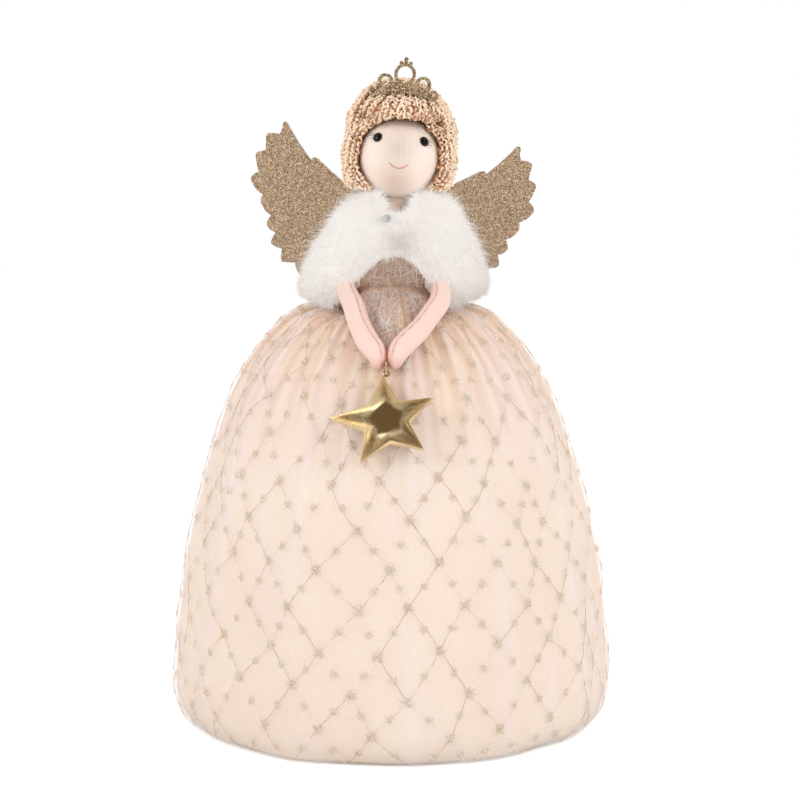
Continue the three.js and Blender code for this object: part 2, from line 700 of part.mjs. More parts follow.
const arcShare = (turn, half) => Math.max(0, Math.cos((Math.min(Math.abs(turn), half) / half) * (Math.PI / 2)));
const furOutline = new THREE.SplineCurve([
  new THREE.Vector2(furBottomRadius, furBottom),
  new THREE.Vector2(furShoulderRadius, furShoulderHeight),
  new THREE.Vector2(furTopRadius, furTop),
]);
const furRadiusAt = (height) => furOutline.getPoint(
  Math.min(1, Math.max(0, (height - furBottom) / (furTop - furBottom)))).x;
const furSection = [
  [0, 0.93], [0.1, 1], [0.35, 1], [0.65, 1], [0.88, 1], [0.98, 0.93], [1, 0.75], [0.96, 0.55],
];
const furStations = 32;
function furGeometry(grow) {
  const rings = Array.from({ length: furStations }, (_, i) => {
    const full = (2 * Math.PI * i) / furStations;
    const turn = full > Math.PI ? full - 2 * Math.PI : full;
    const low = furBottom + furArchRise * arcShare(turn, furArchHalf);
    const high = furTop - furNotchDepth * arcShare(turn, furNotchHalf);
    const at = (height, radius, depthShare) => {
      const shift = (furTopShift * (height - furBottom)) / (furTop - furBottom);
      const place = roundAbout(radius, height, turn);
      return new THREE.Vector3(place.x + shift, place.y * depthShare, place.z);
    };
    const outer = furSection.map(([share, reach]) => {
      const height = low + (high - low) * share;
      return at(height, furRadiusAt(height) * reach + grow, furDepthShare);
    });
    const innerTop = at(THREE.MathUtils.lerp(low, high, furCollarShare), neckRadius + furCollarGap, 1);
    const innerLow = at(low, THREE.MathUtils.lerp(furLiningRadius, torsoShoulderRadius,
      (low - furBottom) / (furTop - furBottom)), furLiningDepthShare);
    return [...outer, innerTop, innerLow];
  });
  return lofted(rings, { loop: true });
}
const beadRoom = solid(new THREE.SphereGeometry(beadRadius + clearance, 10, 8)
  .translate(...beadCentre));
const neckRoom = solid(rod(neckRadius + clearance, axisPoint(-headRise - hairBlock), axisPoint(0), 16)
  .applyMatrix4(headFrame));
add('fur_stole', shaped(solid(furGeometry(0))
  .subtract(bodyRoom).subtract(neckRoom).subtract(armRoom).subtract(beadRoom)), fur);
add('neck_bead', new THREE.SphereGeometry(beadRadius, 10, 8).translate(...beadCentre), clear);

// Wings: one feathered outline, set twice at its own sweep and droop

// Each feather starts in the notch before it and swells away from the wing's heart up to its tip
function wingOutline() {
  const shape = new THREE.Shape();
  const curve = (pull, end) => shape.quadraticCurveTo(pull.x, pull.y, end.x, end.y);
  const off = (point, x, y) => new THREE.Vector2(point.x + x * tipRound, point.y + y * tipRound);
  const [first] = featherTips;
  shape.moveTo(wingRoot.inner, wingRoot.bottom);
  shape.lineTo(wingRoot.inner, wingRoot.top);
  curve(wingRise, wingShoulder);
  curve(thumbRise, off(thumbTip, -1, -1));
  curve(off(thumbTip, 1, 1), off(thumbTip, 1.6, -1));
  curve(off(first, -3, -5), off(first, -0.6, -0.3));
  curve(off(first, 0.3, 0.4), off(first, 0.6, -1));
  featherTips.slice(1).forEach((tip, i) => {
    const before = featherTips[i];
    const middle = before.clone().lerp(tip, 0.5);
    const notch = middle.addScaledVector(wingHeart.clone().sub(middle).normalize(), featherNotch);
    const swell = tip.clone().sub(wingHeart).multiplyScalar(featherBulge);
    curve(new THREE.Vector2(before.x, notch.y).lerp(new THREE.Vector2(notch.x, before.y), 0.3), notch);
    curve(tip.clone().lerp(notch, 0.35).add(swell), tip);
  });
  const last = featherTips.at(-1);
  curve(off(last, -2, -2.2), off(last, -4.4, -0.6));
  curve(wingUnderside, new THREE.Vector2(wingRoot.inner, wingRoot.bottom));
  return shape;
}

function wingPlace({ side, height, sweep, droop }) {
  const flat = new THREE.Matrix4().makeRotationX(Math.PI / 2);
  const drooped = new THREE.Matrix4().makeRotationY(droop);
  const swept = new THREE.Matrix4().makeRotationZ(sweep);
  const flip = new THREE.Matrix4().makeScale(side, 1, 1);
  return new THREE.Matrix4().makeTranslation(0, wingRootY, height)
    .multiply(flip).multiply(swept).multiply(drooped).multiply(flat);
}

const wingSheet = new THREE.ExtrudeGeometry(wingOutline(), {
  depth: wingThickness, bevelEnabled: false, curveSegments: 5,
}).translate(0, 0, -wingThickness / 2);
add('left_wing', wingSheet.clone().applyMatrix4(wingPlace(leftWing)), glitter);
add('right_wing', wingSheet.clone().applyMatrix4(wingPlace(rightWing)), glitter);

// Pad between the stole's back and the wings: a wedge cut to both
const behindWing = (wing) => solid(new THREE.BoxGeometry(hairBlock, hairBlock, hairBlock)
  .translate(hairBlock / 2, 0, -hairBlock / 2 + wingThickness / 2 + clearance)
  .applyMatrix4(wingPlace(wing)));
const furCore = solid(furGeometry(2 * clearance));
const inFurWall = padSeatShare * furShoulderRadius * furDepthShare;
const pad = block(-padWidth / 2, padWidth / 2, inFurWall, wingRootY + padOverlap, padBottom, padTop)
  .subtract(furCore).subtract(behindWing(leftWing)).subtract(behindWing(rightWing));
add('wing_pad', shaped(pad), felt);

// Star: two foil shells over filling, hung by a thread loop from the hand tie

const slopeUp = new THREE.Vector3(0, Math.sin(starSlant), Math.cos(starSlant));
const slopeOut = new THREE.Vector3(0, -Math.cos(starSlant), Math.sin(starSlant));
const starFrame = new THREE.Group();
starFrame.position.copy(hang);
starFrame.quaternion.setFromRotationMatrix(
  new THREE.Matrix4().makeBasis(new THREE.Vector3(1, 0, 0), slopeUp, slopeOut));
object.add(starFrame);

const loopEnd = loopLength + loopHalfWidth;
class LoopCurve extends THREE.Curve {
  getPoint(share) {
    const turn = share * 2 * Math.PI;
    const lift = Math.sin(turn) > 0 ? 0 : -loopLength;
    return new THREE.Vector3(0, loopHalfWidth * Math.sin(turn) + lift, loopHalfWidth * Math.cos(turn));
  }
}
add('thread_loop', tube(new LoopCurve(), () => loopThread, 20, 6, true), cotton, starFrame);

// Radius of the star's outline in direction turn (clockwise from the top, in degrees)
const starMarks = starTips.flatMap((tip, i) => {
  const after = starTips[(i + 1) % starTips.length];
  const span = (after.turn - tip.turn + 360) % 360;
  return [tip, { turn: tip.turn + span / 2, reach: starNotch }];
});
const starSides = 4;
const starRim = starMarks.flatMap((mark, i) => {
  const after = starMarks[(i + 1) % starMarks.length];
  const corner = ({ turn, reach }) => new THREE.Vector2(
    reach * Math.sin(turn * degrees), reach * Math.cos(turn * degrees));
  return Array.from({ length: starSides }, (_, k) => corner(mark).lerp(corner(after), k / starSides));
});
const starRings = 5;

function starShell(low, high, shrink, crownLow, crownHigh) {
  // Inner rings are rounder than the rim, so that the middle swells and the tips stay slim
  const ring = (share, height) => starRim.map((p) => {
    const reach = p.length() - shrink;
    const drawn = (share * THREE.MathUtils.lerp(starNotch - shrink, reach, share)) / p.length();
    return new THREE.Vector3(p.x * drawn, p.y * drawn - starDrop, height);
  });
  const rise = (share) => Math.sqrt(1 - share ** 2);
  const shares = Array.from({ length: starRings }, (_, i) => 1 - (i / starRings) ** 1.3);
  const upper = shares.map((share) => ring(share, high + crownHigh * rise(share))).reverse();
  const lower = shares.map((share) => ring(share, low + crownLow * rise(share)));
  return lofted([...upper, ...lower]);
}
const crown = starThickness / 2 - starSeam;
const seamGap = clearance / 2;
const front = starShell(seamGap, starSeam, 0, crown - foilThickness, crown);
add('star_front', front, gold, starFrame);
const back = starShell(-starSeam, -seamGap, 0, -crown, -(crown - foilThickness));
const tab = new THREE.Shape().absarc(0, -loopEnd, tabRadius, 0, 2 * Math.PI);
tab.holes.push(new THREE.Path().absarc(0, -loopEnd, tabHole, 0, 2 * Math.PI, true));
const tabSheet = new THREE.ExtrudeGeometry(tab, {
  depth: tabThickness, bevelEnabled: false, curveSegments: 12,
}).translate(0, 0, -tabThickness - seamGap);
add('star_back', shaped(solid(back).add(solid(tabSheet))), gold, starFrame);
const fill = crown - foilThickness - 2 * clearance;
add('star_filling', starShell(-seamGap, seamGap, fillingInset, -fill, fill), wadding, starFrame);

export default object;
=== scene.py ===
import math

import bpy
import numpy as np
from mathutils import Matrix, Vector


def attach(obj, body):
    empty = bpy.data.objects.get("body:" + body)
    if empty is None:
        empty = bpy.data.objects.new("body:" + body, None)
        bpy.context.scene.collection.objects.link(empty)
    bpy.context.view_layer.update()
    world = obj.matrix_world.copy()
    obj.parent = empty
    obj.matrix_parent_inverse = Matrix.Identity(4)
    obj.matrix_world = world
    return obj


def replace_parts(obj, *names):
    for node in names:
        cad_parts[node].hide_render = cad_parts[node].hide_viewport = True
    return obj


# Looks of the fabric angel ornament round its fixed frame. Metres, +Z up, the doll faces -Y.

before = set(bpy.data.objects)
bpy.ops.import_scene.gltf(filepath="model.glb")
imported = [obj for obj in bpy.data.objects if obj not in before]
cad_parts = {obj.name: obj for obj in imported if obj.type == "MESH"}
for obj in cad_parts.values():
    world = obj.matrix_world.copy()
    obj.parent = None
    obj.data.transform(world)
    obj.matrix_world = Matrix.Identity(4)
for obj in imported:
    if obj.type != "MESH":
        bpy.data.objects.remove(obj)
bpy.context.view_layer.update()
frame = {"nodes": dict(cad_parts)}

MM = 0.001
TAU = 2 * math.pi
DEGREES = math.pi / 180
TINY = 1e-12  # keeps a division by a length from failing

# Sizes that the frame's solids have, in metres

SKIRT_RADIUS = 98.4 * MM
BELLY_HEIGHT = 22 * MM
CROWN_HEIGHT = 190.8 * MM
WAIST_HEIGHT = 181 * MM
WAIST_DIP_RADIUS = 42 * MM
WAIST_RIM_RADIUS = 21.1 * MM
HEM_RADIUS = 92.5 * MM
HEM_HEIGHT = 0.8 * MM
SIDE_POWER, TOP_POWER = 3.487, 1.401
LINING_DEPTH = 1.1 * MM

TORSO_OUTLINE = [(15.5, 168.3), (16.9, 181), (20.5, 203), (17.5, 216), (5, 226)]  # radius, height in mm
NECK_BASE = Vector((1.0, -1.0, 226)) * MM
HEAD_TILT = 5.3 * DEGREES
HEAD_RISE = 29.1 * MM
COVER_RADIUS = 18.3 * MM

HANG = Vector((-1.84, -69.555, 168.4)) * MM
STAR_SLANT = 27 * DEGREES

HEAD_FRAME = (Matrix.Translation(NECK_BASE) @ Matrix.Rotation(HEAD_TILT, 4, "Y")
              @ Matrix.Translation((0, 0, HEAD_RISE)))
STAR_FRAME = Matrix.Translation(HANG) @ Matrix((
    (1, 0, 0, 0),
    (0, math.sin(STAR_SLANT), -math.cos(STAR_SLANT), 0),
    (0, math.cos(STAR_SLANT), math.sin(STAR_SLANT), 0),
    (0, 0, 0, 1)))


# Geometry helpers

def placed(points, matrix):
    """Points (..., 3) carried by a 4x4 matrix."""
    m = np.array(matrix)
    return points @ m[:3, :3].T + m[:3, 3]


def unit(vectors):
    return vectors / (np.linalg.norm(vectors, axis=-1, keepdims=True) + TINY)


def away(points):
    """Level directions from the Z axis out through points."""
    return unit(points * np.array((1, 1, 0)))


def around(radius, turn, height, depth=1.0):
    """Points at a radius, a turn about Z (0 faces -Y) and a height; depth is their share along Y."""
    return np.stack(np.broadcast_arrays(radius * np.sin(turn), -radius * np.cos(turn) * depth, height), -1)


def hump(place, middle, width, power=2):
    """1 at the middle, falling smoothly to 0 about two widths away."""
    return np.exp(-((place - middle) / width) ** power)


def smooth_step(share):
    share = np.clip(share, 0, 1)
    return share * share * (3 - 2 * share)


def ripple(points, cell, seed, waves=8):
    """Smooth unevenness, about -1 to 1, over points (..., 3), with swells about one cell wide."""
    draw = np.random.default_rng(seed)
    pitch = unit(draw.normal(size=(waves, 3))) * (TAU / cell) * draw.uniform(0.5, 1.5, (waves, 1))
    phase = draw.uniform(0, TAU, waves)
    return np.sin(points @ pitch.T + phase).sum(-1) / math.sqrt(2 * waves)


def grid_faces(rows, columns, wrap=False, close=False):
    """Quads of a grid of points; wrap joins its last column to its first, close its last row."""
    i, j = np.meshgrid(np.arange(rows if close else rows - 1), np.arange(columns if wrap else columns - 1),
                       indexing="ij")
    k, n = (j + 1) % columns, (i + 1) % rows
    return np.stack([i * columns + j, i * columns + k, n * columns + k, n * columns + j], -1).reshape(-1, 4)


def tubes(paths, radii, upright=None, sides=3, pointed=True):
    """Closed strands along paths (count, steps, 3), with radii (count, steps). Returns points, faces and
    each point's strand and share of the way. A pointed strand ends in one point, others in a cap."""
    count, steps, _ = paths.shape
    along = unit(np.gradient(paths, axis=1))
    if upright is None:
        upright = np.cross(along.mean(1, keepdims=True), np.array((0.31, 0.52, 0.79)))
    across = unit(upright - (upright * along).sum(-1, keepdims=True) * along)
    other = np.cross(along, across)
    turns = np.arange(sides) * TAU / sides
    ring = across[:, :, None] * np.cos(turns)[:, None] + other[:, :, None] * np.sin(turns)[:, None]
    points = paths[:, :, None] + ring * radii[:, :, None, None]
    rings = steps - 1 if pointed else steps
    each = rings * sides + (1 if pointed else 0)
    body = points[:, :rings].reshape(count, rings * sides, 3)
    if pointed:
        body = np.concatenate([body, paths[:, -1:]], 1)
    first = (np.arange(count) * each)[:, None, None]
    quads = (grid_faces(rings, sides, wrap=True)[None] + first).reshape(-1, 4)
    base = np.arange(sides)[::-1]
    faces = [quads, (base[None] + first[:, 0]).reshape(-1, sides)]
    last = (rings - 1) * sides + np.arange(sides)
    if pointed:
        tip = np.stack([last, np.roll(last, -1), np.full(sides, each - 1)], 1)
        faces.append((tip[None] + first).reshape(-1, 3))
    else:
        faces.append((last[None] + first[:, 0]).reshape(-1, sides))
    share = np.repeat(np.arange(rings) / (steps - 1), sides)
    if pointed:
        share = np.append(share, 1.0)
    return body.reshape(-1, 3), faces, np.repeat(np.arange(count), each), np.tile(share, count)


def merged(parts):
    """One (points, faces) from several."""
    points, faces, start = [], [], 0
    for part_points, part_faces in parts:
        points.append(part_points)
        faces += [np.asarray(f) + start for f in part_faces]
        start += len(part_points)
    return np.concatenate(points), faces


def piece(name, points, faces, material, slot, body="doll", tone=None, smooth=True):
    """A named piece that rides on a body. faces is a list of arrays, each of faces with like corners, and
    tone is a number for each point, which the material reads as the attribute "tone"."""
    mesh = bpy.data.meshes.new(name)
    lists = [np.asarray(f, np.int32) for f in faces if len(f)]
    corners = np.concatenate([f.ravel() for f in lists])
    sizes = np.concatenate([np.full(len(f), f.shape[1], np.int32) for f in lists])
    mesh.vertices.add(len(points))
    mesh.vertices.foreach_set("co", np.asarray(points, np.float32).ravel())
    mesh.loops.add(len(corners))
    mesh.loops.foreach_set("vertex_index", corners)
    mesh.polygons.add(len(sizes))
    mesh.polygons.foreach_set("loop_start", (np.cumsum(sizes) - sizes).astype(np.int32))
    mesh.polygons.foreach_set("use_smooth", np.full(len(sizes), smooth))
    mesh.update(calc_edges=True)
    if tone is not None:
        mesh.attributes.new("tone", "FLOAT", "POINT").data.foreach_set("value", np.asarray(tone, np.float32))
    mesh.materials.append(material)
    made = bpy.data.objects.new(name, mesh)
    bpy.context.scene.collection.objects.link(made)
    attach(made, body)
    return made


def strand_piece(name, paths, radii, sides, material, slot, body="doll", pointed=False):
    """A piece of strands in one plain material."""
    points, faces, _, _ = tubes(paths, radii, sides=sides, pointed=pointed)
    return piece(name, points, faces, material, slot, body)


def thickened(made, thickness, outward=-1.0):
    """Gives a sheet its thickness: offset -1 keeps its outer face where it is."""
    solid = made.modifiers.new("thickness", "SOLIDIFY")
    solid.thickness = thickness
    solid.offset = outward
    return made


# Curves

SPAN_STEPS = 60


def run_of(line):
    """The length of a line so far at each of its points."""
    return np.append(0, np.cumsum(np.linalg.norm(np.diff(line, axis=0), axis=1)))


def at(places, run, line):
    """The points of a line at places along its run."""
    return np.stack([np.interp(places, run, column) for column in line.T], -1)


def off_profile(way, length, radius, height, stand, step):
    """Radius and height at a way along a profile, moved off it by stand."""
    r, z = (np.interp(way, length, line) for line in (radius, height))
    slope_r, slope_z = (np.interp(way + step, length, line) - np.interp(way - step, length, line)
                        for line in (radius, height))
    size = np.hypot(slope_r, slope_z) + TINY
    return r + stand * slope_z / size, z - stand * slope_r / size


def through(points, steps, centripetal=True):
    """A smooth line through points, at even steps of its length, as the solids have it."""
    p = np.asarray(points, float)
    if centripetal:
        p = np.concatenate([[2 * p[0] - p[1]], p, [2 * p[-1] - p[-2]]])
    else:
        p = np.concatenate([p[:1], p, p[-1:]])
    t = np.linspace(0, 1, SPAN_STEPS, endpoint=False)[:, None]
    line = []
    for a, b, c, d in zip(p, p[1:], p[2:], p[3:]):
        if centripetal:
            k0, k1, k2 = (np.linalg.norm(v) ** 0.5 for v in (b - a, c - b, d - c))
            m1 = ((b - a) / k0 - (c - a) / (k0 + k1) + (c - b) / k1) * k1
            m2 = ((c - b) / k1 - (d - b) / (k1 + k2) + (d - c) / k2) * k1
        else:
            m1, m2 = (c - a) / 2, (d - b) / 2
        line.append((2 * t ** 3 - 3 * t ** 2 + 1) * b + (t ** 3 - 2 * t ** 2 + t) * m1
                    + (3 * t ** 2 - 2 * t ** 3) * c + (t ** 3 - t ** 2) * m2)
    line = np.concatenate(line + [p[-2:-1]])
    run = run_of(line)
    return at(np.linspace(0, run[-1], steps), run, line)


def turned(profile, columns):
    """Points (rows, columns, 3) of a profile of (radius, height), turned about Z from -Y."""
    profile = np.asarray(profile, float)
    turn = np.arange(columns) * TAU / columns
    return around(profile[:, 0, None], turn, profile[:, 1, None])


def capped(rows):
    """A closed body from rings (rows, columns, 3), its two ends drawn to their middles."""
    count, columns, _ = rows.shape
    points = np.concatenate([rows.reshape(-1, 3), rows[:1].mean(1), rows[-1:].mean(1)])
    ring = np.arange(columns)
    following = np.roll(ring, -1)
    last = (count - 1) * columns
    base = np.stack([following, ring, np.full(columns, count * columns)], 1)
    top = np.stack([last + ring, last + following, np.full(columns, count * columns + 1)], 1)
    return points, [grid_faces(count, columns, wrap=True), base, top]


def wound(rows):
    """A closed ring-shaped body from rings whose last joins the first."""
    return rows.reshape(-1, 3), [grid_faces(*rows.shape[:2], wrap=True, close=True)]


def softened(name, node, material, cell, grow, body="doll", passes=4):
    """A smooth copy of a solid, remade in cells and grown or drawn in along its surface."""
    made = bpy.data.objects.new(name, frame["nodes"][node].data.copy())
    bpy.context.scene.collection.objects.link(made)
    made.data.materials.clear()
    made.data.materials.append(material)
    cells = made.modifiers.new("cells", "REMESH")
    cells.mode = "VOXEL"
    cells.voxel_size = cell
    cells.use_smooth_shade = True
    soft = made.modifiers.new("soft", "SMOOTH")
    soft.iterations = passes
    stand = made.modifiers.new("stand", "DISPLACE")
    stand.mid_level = 0
    stand.strength = grow
    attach(made, body)
    return made


# Materials

def linear(red, green, blue):
    """A colour written as 0 to 255, in linear light, with alpha."""
    def one(value):
        share = value / 255
        return share / 12.92 if share <= 0.04045 else ((share + 0.055) / 1.055) ** 2.4
    return (one(red), one(green), one(blue), 1.0)


class Shader:
    """One Principled material, with short calls for the nodes that feed it. Lengths are metres."""

    def __init__(self, name, colour, **plain):
        self.material = bpy.data.materials.new(name)
        self.material.use_nodes = True
        self.nodes = self.material.node_tree.nodes
        self.links = self.material.node_tree.links
        self.surface = self.nodes["Principled BSDF"]
        self.surface.inputs["Base Color"].default_value = colour
        for socket, value in plain.items():
            self.surface.inputs[socket.replace("_", " ")].default_value = value
        self.bumped = None

    def node(self, kind, *inputs, **settings):
        made = self.nodes.new(kind)
        for name, value in settings.items():
            setattr(made, name, value)
        for socket, value in inputs:
            target = made.inputs[socket]
            if isinstance(value, bpy.types.NodeSocket):
                self.links.new(value, target)
            else:
                target.default_value = value
        return made

    def where(self, stretch=(1, 1, 1)):
        place = self.node("ShaderNodeTexCoord").outputs["Object"]
        return self.node("ShaderNodeMapping", ("Vector", place), ("Scale", stretch)).outputs[0]

    def noise(self, size, detail=3.0, rough=0.55, stretch=(1, 1, 1)):
        return self.node("ShaderNodeTexNoise", ("Vector", self.where(stretch)), ("Scale", 1 / size),
                         ("Detail", detail), ("Roughness", rough)).outputs["Fac"]

    def cells(self, size, output="Color"):
        made = self.node("ShaderNodeTexVoronoi", ("Vector", self.where()), ("Scale", 1 / size))
        return made.outputs[output]

    def tone(self):
        return self.node("ShaderNodeAttribute", attribute_name="tone").outputs["Fac"]

    def sum(self, first, second, how="ADD"):
        return self.node("ShaderNodeMath", (0, first), (1, second), operation=how).outputs[0]

    def ramp(self, share, *stops):
        made = self.node("ShaderNodeValToRGB", ("Fac", share))
        band = made.color_ramp
        while len(band.elements) < len(stops):
            band.elements.new(0.5)
        for element, (place, colour) in zip(band.elements, stops):
            element.position = place
            element.color = colour if not isinstance(colour, (int, float)) else (colour, colour, colour, 1)
        return made.outputs["Color"]

    def mix(self, share, first, second):
        """Blends two colours; 6, 7 and 2 are the places of the node's colour sockets."""
        made = self.node("ShaderNodeMix", ("Factor", share), (6, first), (7, second), data_type="RGBA")
        return made.outputs[2]

    def span(self, source, start, end, most=1.0):
        """0 where the source is at start, rising to most where it is at end."""
        return self.node("ShaderNodeMapRange", ("Value", source), ("From Min", start), ("From Max", end),
                         ("To Max", most)).outputs[0]

    def climb(self, start, end):
        """0 at the height start and 1 at the height end."""
        place = self.node("ShaderNodeSeparateXYZ", ("Vector", self.where()))
        return self.span(place.outputs["Z"], start, end)

    def spot(self, under, place, reach, over, inner=0.0, most=1.0):
        """Lays one colour over another round a place: by most within inner, by nothing from reach on."""
        apart = self.node("ShaderNodeVectorMath", (0, self.where()), (1, place), operation="DISTANCE")
        return self.mix(self.span(apart.outputs["Value"], reach, inner, most), under, over)

    def colour(self, source):
        self.links.new(source, self.surface.inputs["Base Color"])

    def rough(self, source, low, high):
        spread = self.node("ShaderNodeMapRange", ("Value", source), ("To Min", low), ("To Max", high))
        self.links.new(spread.outputs[0], self.surface.inputs["Roughness"])

    def bump(self, height, depth):
        """Raises the surface by depth metres where height is 1; bumps add up."""
        made = self.node("ShaderNodeBump", ("Height", height), ("Distance", depth), ("Strength", 1.0))
        if self.bumped is not None:
            self.links.new(self.bumped, made.inputs["Normal"])
        self.bumped = made.outputs[0]
        self.links.new(self.bumped, self.surface.inputs["Normal"])


WHITE = (1, 1, 1, 1)


def satin_material():
    """Peach satin: pale low down; toward the waist deeper, partly its own colour and partly painted shade
    under the arms and stole, with painted light and shade streaked along its gathers.
    """
    made = Shader("satin", linear(240, 217, 196), Roughness=0.62, Sheen_Weight=0.25, Sheen_Roughness=0.4)
    patch = made.ramp(made.noise(0.03), (0.3, 0.0), (0.7, 1.0))
    low = made.mix(patch, linear(242, 222, 203), linear(248, 232, 215))
    # Painted light and shade: darker and lighter peach streaks that stand for the shading of the gathers.
    high = made.mix(made.tone(), linear(222, 176, 136), linear(252, 230, 205))
    made.colour(made.mix(made.climb(0.125, 0.182), low, high))
    made.bump(made.noise(0.0006, 2, stretch=(1, 1, 0.35)), 0.00008)
    return made.material


def tulle_material():
    """Cream net, peach toward the waist, partly its own colour and partly painted shade under arms and stole,
    whiter where its tone is high.
    """
    made = Shader("tulle", linear(250, 238, 231), Roughness=0.75, Alpha=0.38, Sheen_Weight=1.0,
                  Sheen_Roughness=0.35, Sheen_Tint=linear(250, 242, 250))
    net = made.ramp(made.cells(0.0011, "Distance"), (0.15, 1.0), (0.6, 0.0))
    cloth = made.mix(net, linear(251, 239, 229), linear(248, 234, 222))
    # Painted shade, in part: the net turns peach toward the waist, under the arms and the stole.
    cloth = made.mix(made.climb(0.140, 0.178), cloth, linear(250, 231, 211))
    # Whiter where the tone is high: along creases and the standing fold, and on the flanks as painted sheen.
    made.colour(made.mix(made.tone(), cloth, linear(252, 242, 247)))
    made.bump(net, 0.0001)
    return made.material


def thread_material():
    made = Shader("lattice_thread", linear(190, 170, 146), Roughness=0.45, Metallic=0.15)
    # Painted glint: the tone gives each thread light and dark stretches along its length.
    tone = made.sum(made.tone(), made.noise(0.0045, 2))
    made.colour(made.ramp(tone, (0.40, linear(170, 148, 120)), (0.60, linear(210, 190, 162)),
                          (0.80, linear(240, 225, 206)), (1.0, linear(253, 245, 235))))
    return made.material


def knot_material():
    made = Shader("lattice_knot", linear(214, 197, 180), Roughness=0.6, Metallic=0.1)
    made.colour(made.ramp(made.sum(made.tone(), made.noise(0.0008, 2)), (0.40, linear(224, 203, 172)),
                          (0.70, linear(240, 223, 199)), (1.0, linear(253, 245, 233))))
    return made.material


def taupe_material():
    """Taupe satin with painted sheen in upright streaks, painted reddish shade in the gaps beside both arms
    and a bit of tan above the hands.
    """
    made = Shader("taupe_satin", linear(168, 141, 123), Roughness=0.5, Sheen_Weight=0.3)
    # Painted sheen: upright streaks of lighter and darker taupe.
    sheen_streak = made.ramp(made.noise(0.0016, 3, stretch=(1, 1, 0.15)), (0.3, 0.0), (0.7, 1.0))
    cloth = made.mix(sheen_streak, linear(140, 114, 95), linear(176, 150, 129))
    low = made.mix(sheen_streak, linear(200, 164, 138), linear(236, 206, 180))
    cloth = made.mix(made.climb(0.204, 0.184), cloth, low)
    # Painted shade: reddish-brown spots in the gaps between the arms and the bodice; the third spot is tan
    # above the hands.
    for place, reach, over in (((-0.0170, -0.0140, 0.1980), 0.0085, linear(166, 88, 56)),
                               ((0.0185, -0.0230, 0.1930), 0.0060, linear(206, 140, 104)),
                               ((-0.0045, -0.0525, 0.1790), 0.0045, linear(200, 160, 110))):
        cloth = made.spot(cloth, place, reach, over, inner=reach * 0.5)
    made.colour(cloth)
    made.bump(made.noise(0.0009, 3, stretch=(1, 1, 0.2)), 0.0002)
    return made.material


def lash_material():
    made = Shader("eyelash_yarn", linear(232, 212, 202), Roughness=0.55, Sheen_Weight=0.3)
    made.colour(made.ramp(made.tone(), (0.0, linear(200, 174, 158)), (0.4, linear(240, 218, 206)),
                          (1.0, linear(254, 247, 243))))
    return made.material


def face_material():
    """Cream knit with faint upright ribs, greyer down its middle, with blush on both cheeks."""
    made = Shader("face_knit", linear(244, 226, 214), Roughness=0.85, Sheen_Weight=0.2)
    ribs = made.node("ShaderNodeTexWave", ("Vector", made.where()), ("Scale", 330.0), ("Distortion", 2.5),
                     ("Detail", 2.0), bands_direction="X").outputs["Fac"]
    skin = made.mix(ribs, linear(246, 228, 216), linear(250, 236, 226))
    grey = made.mix(ribs, linear(204, 184, 168), linear(226, 209, 196))
    skin = made.spot(skin, (0.0030, -0.0188, 0.2590), 0.0125, grey)
    skin = made.spot(skin, (0.0015, -0.0175, 0.2440), 0.0120, linear(214, 188, 168))
    for side in (-0.0085, 0.0155):
        skin = made.spot(skin, (side, -0.0150, 0.2475), 0.0085, linear(252, 214, 200), most=0.35)
    made.colour(skin)
    made.bump(ribs, 0.00004)
    made.bump(made.noise(0.0004, 2), 0.00005)
    return made.material


def yarn_material(name, dark, middle, light):
    made = Shader(name, middle, Roughness=0.8, Sheen_Weight=0.35)
    made.colour(made.ramp(made.sum(made.tone(), made.noise(0.0007, 2)), (0.45, dark), (0.95, middle),
                          (1.5, light)))
    made.bump(made.noise(0.0003, 2), 0.0001)
    return made.material


def felt_material(name, colour, shade):
    made = Shader(name, colour, Roughness=0.9, Sheen_Weight=0.35)
    # The tone mixes in the shade colour: painted shade on the arm's inner side and in the crease where the
    # hands meet, and real blush at the fingertips.
    made.colour(made.mix(made.tone(), made.mix(made.noise(0.0012, 3), colour, linear(243, 212, 200)), shade))
    made.bump(made.noise(0.00045, 3, 0.7), 0.00014)
    return made.material


def cloth_material(name, colour, second, grain=0.0005):
    made = Shader(name, colour, Roughness=0.85, Sheen_Weight=0.2)
    made.colour(made.mix(made.noise(grain * 4, 3), colour, second))
    made.bump(made.noise(grain, 2), 0.0001)
    return made.material


def fur_material():
    made = Shader("white_fur", linear(249, 243, 238), Roughness=0.75, Sheen_Weight=0.3)
    # The strands' tone runs from painted shade at their roots to white at their tips.
    made.colour(made.ramp(made.tone(), (0.0, linear(214, 203, 195)), (0.35, linear(247, 240, 234)),
                          (0.8, linear(255, 252, 248))))
    return made.material


def glitter_material(name, grain, dark, middle, light, shine):
    """Glitter leatherette: every grain has a colour and a lean of its own."""
    made = Shader(name, middle, Metallic=shine)
    pick = made.node("ShaderNodeSeparateColor", ("Color", made.cells(grain))).outputs
    made.colour(made.ramp(pick[0], (0.05, dark), (0.5, middle), (0.93, light), (1.0, linear(252, 242, 224))))
    made.rough(pick[1], 0.35, 0.7)
    made.bump(pick[2], grain * 0.25)
    made.bump(made.cells(grain, "Distance"), grain * 0.2)
    return made.material


def foil_material():
    made = Shader("gold_foil", linear(222, 200, 160), Metallic=1.0)
    made.rough(made.noise(0.004, 3), 0.09, 0.18)
    made.colour(made.mix(made.noise(0.006, 3), linear(232, 214, 176), linear(214, 190, 146)))
    made.bump(made.noise(0.0012, 3, 0.6), 0.00009)
    return made.material


def eye_material():
    made = Shader("eye_black", linear(18, 14, 13), Roughness=0.09, Specular_IOR_Level=0.25)
    made.colour(made.mix(made.noise(0.001, 2), linear(13, 10, 10), linear(26, 20, 18)))
    return made.material


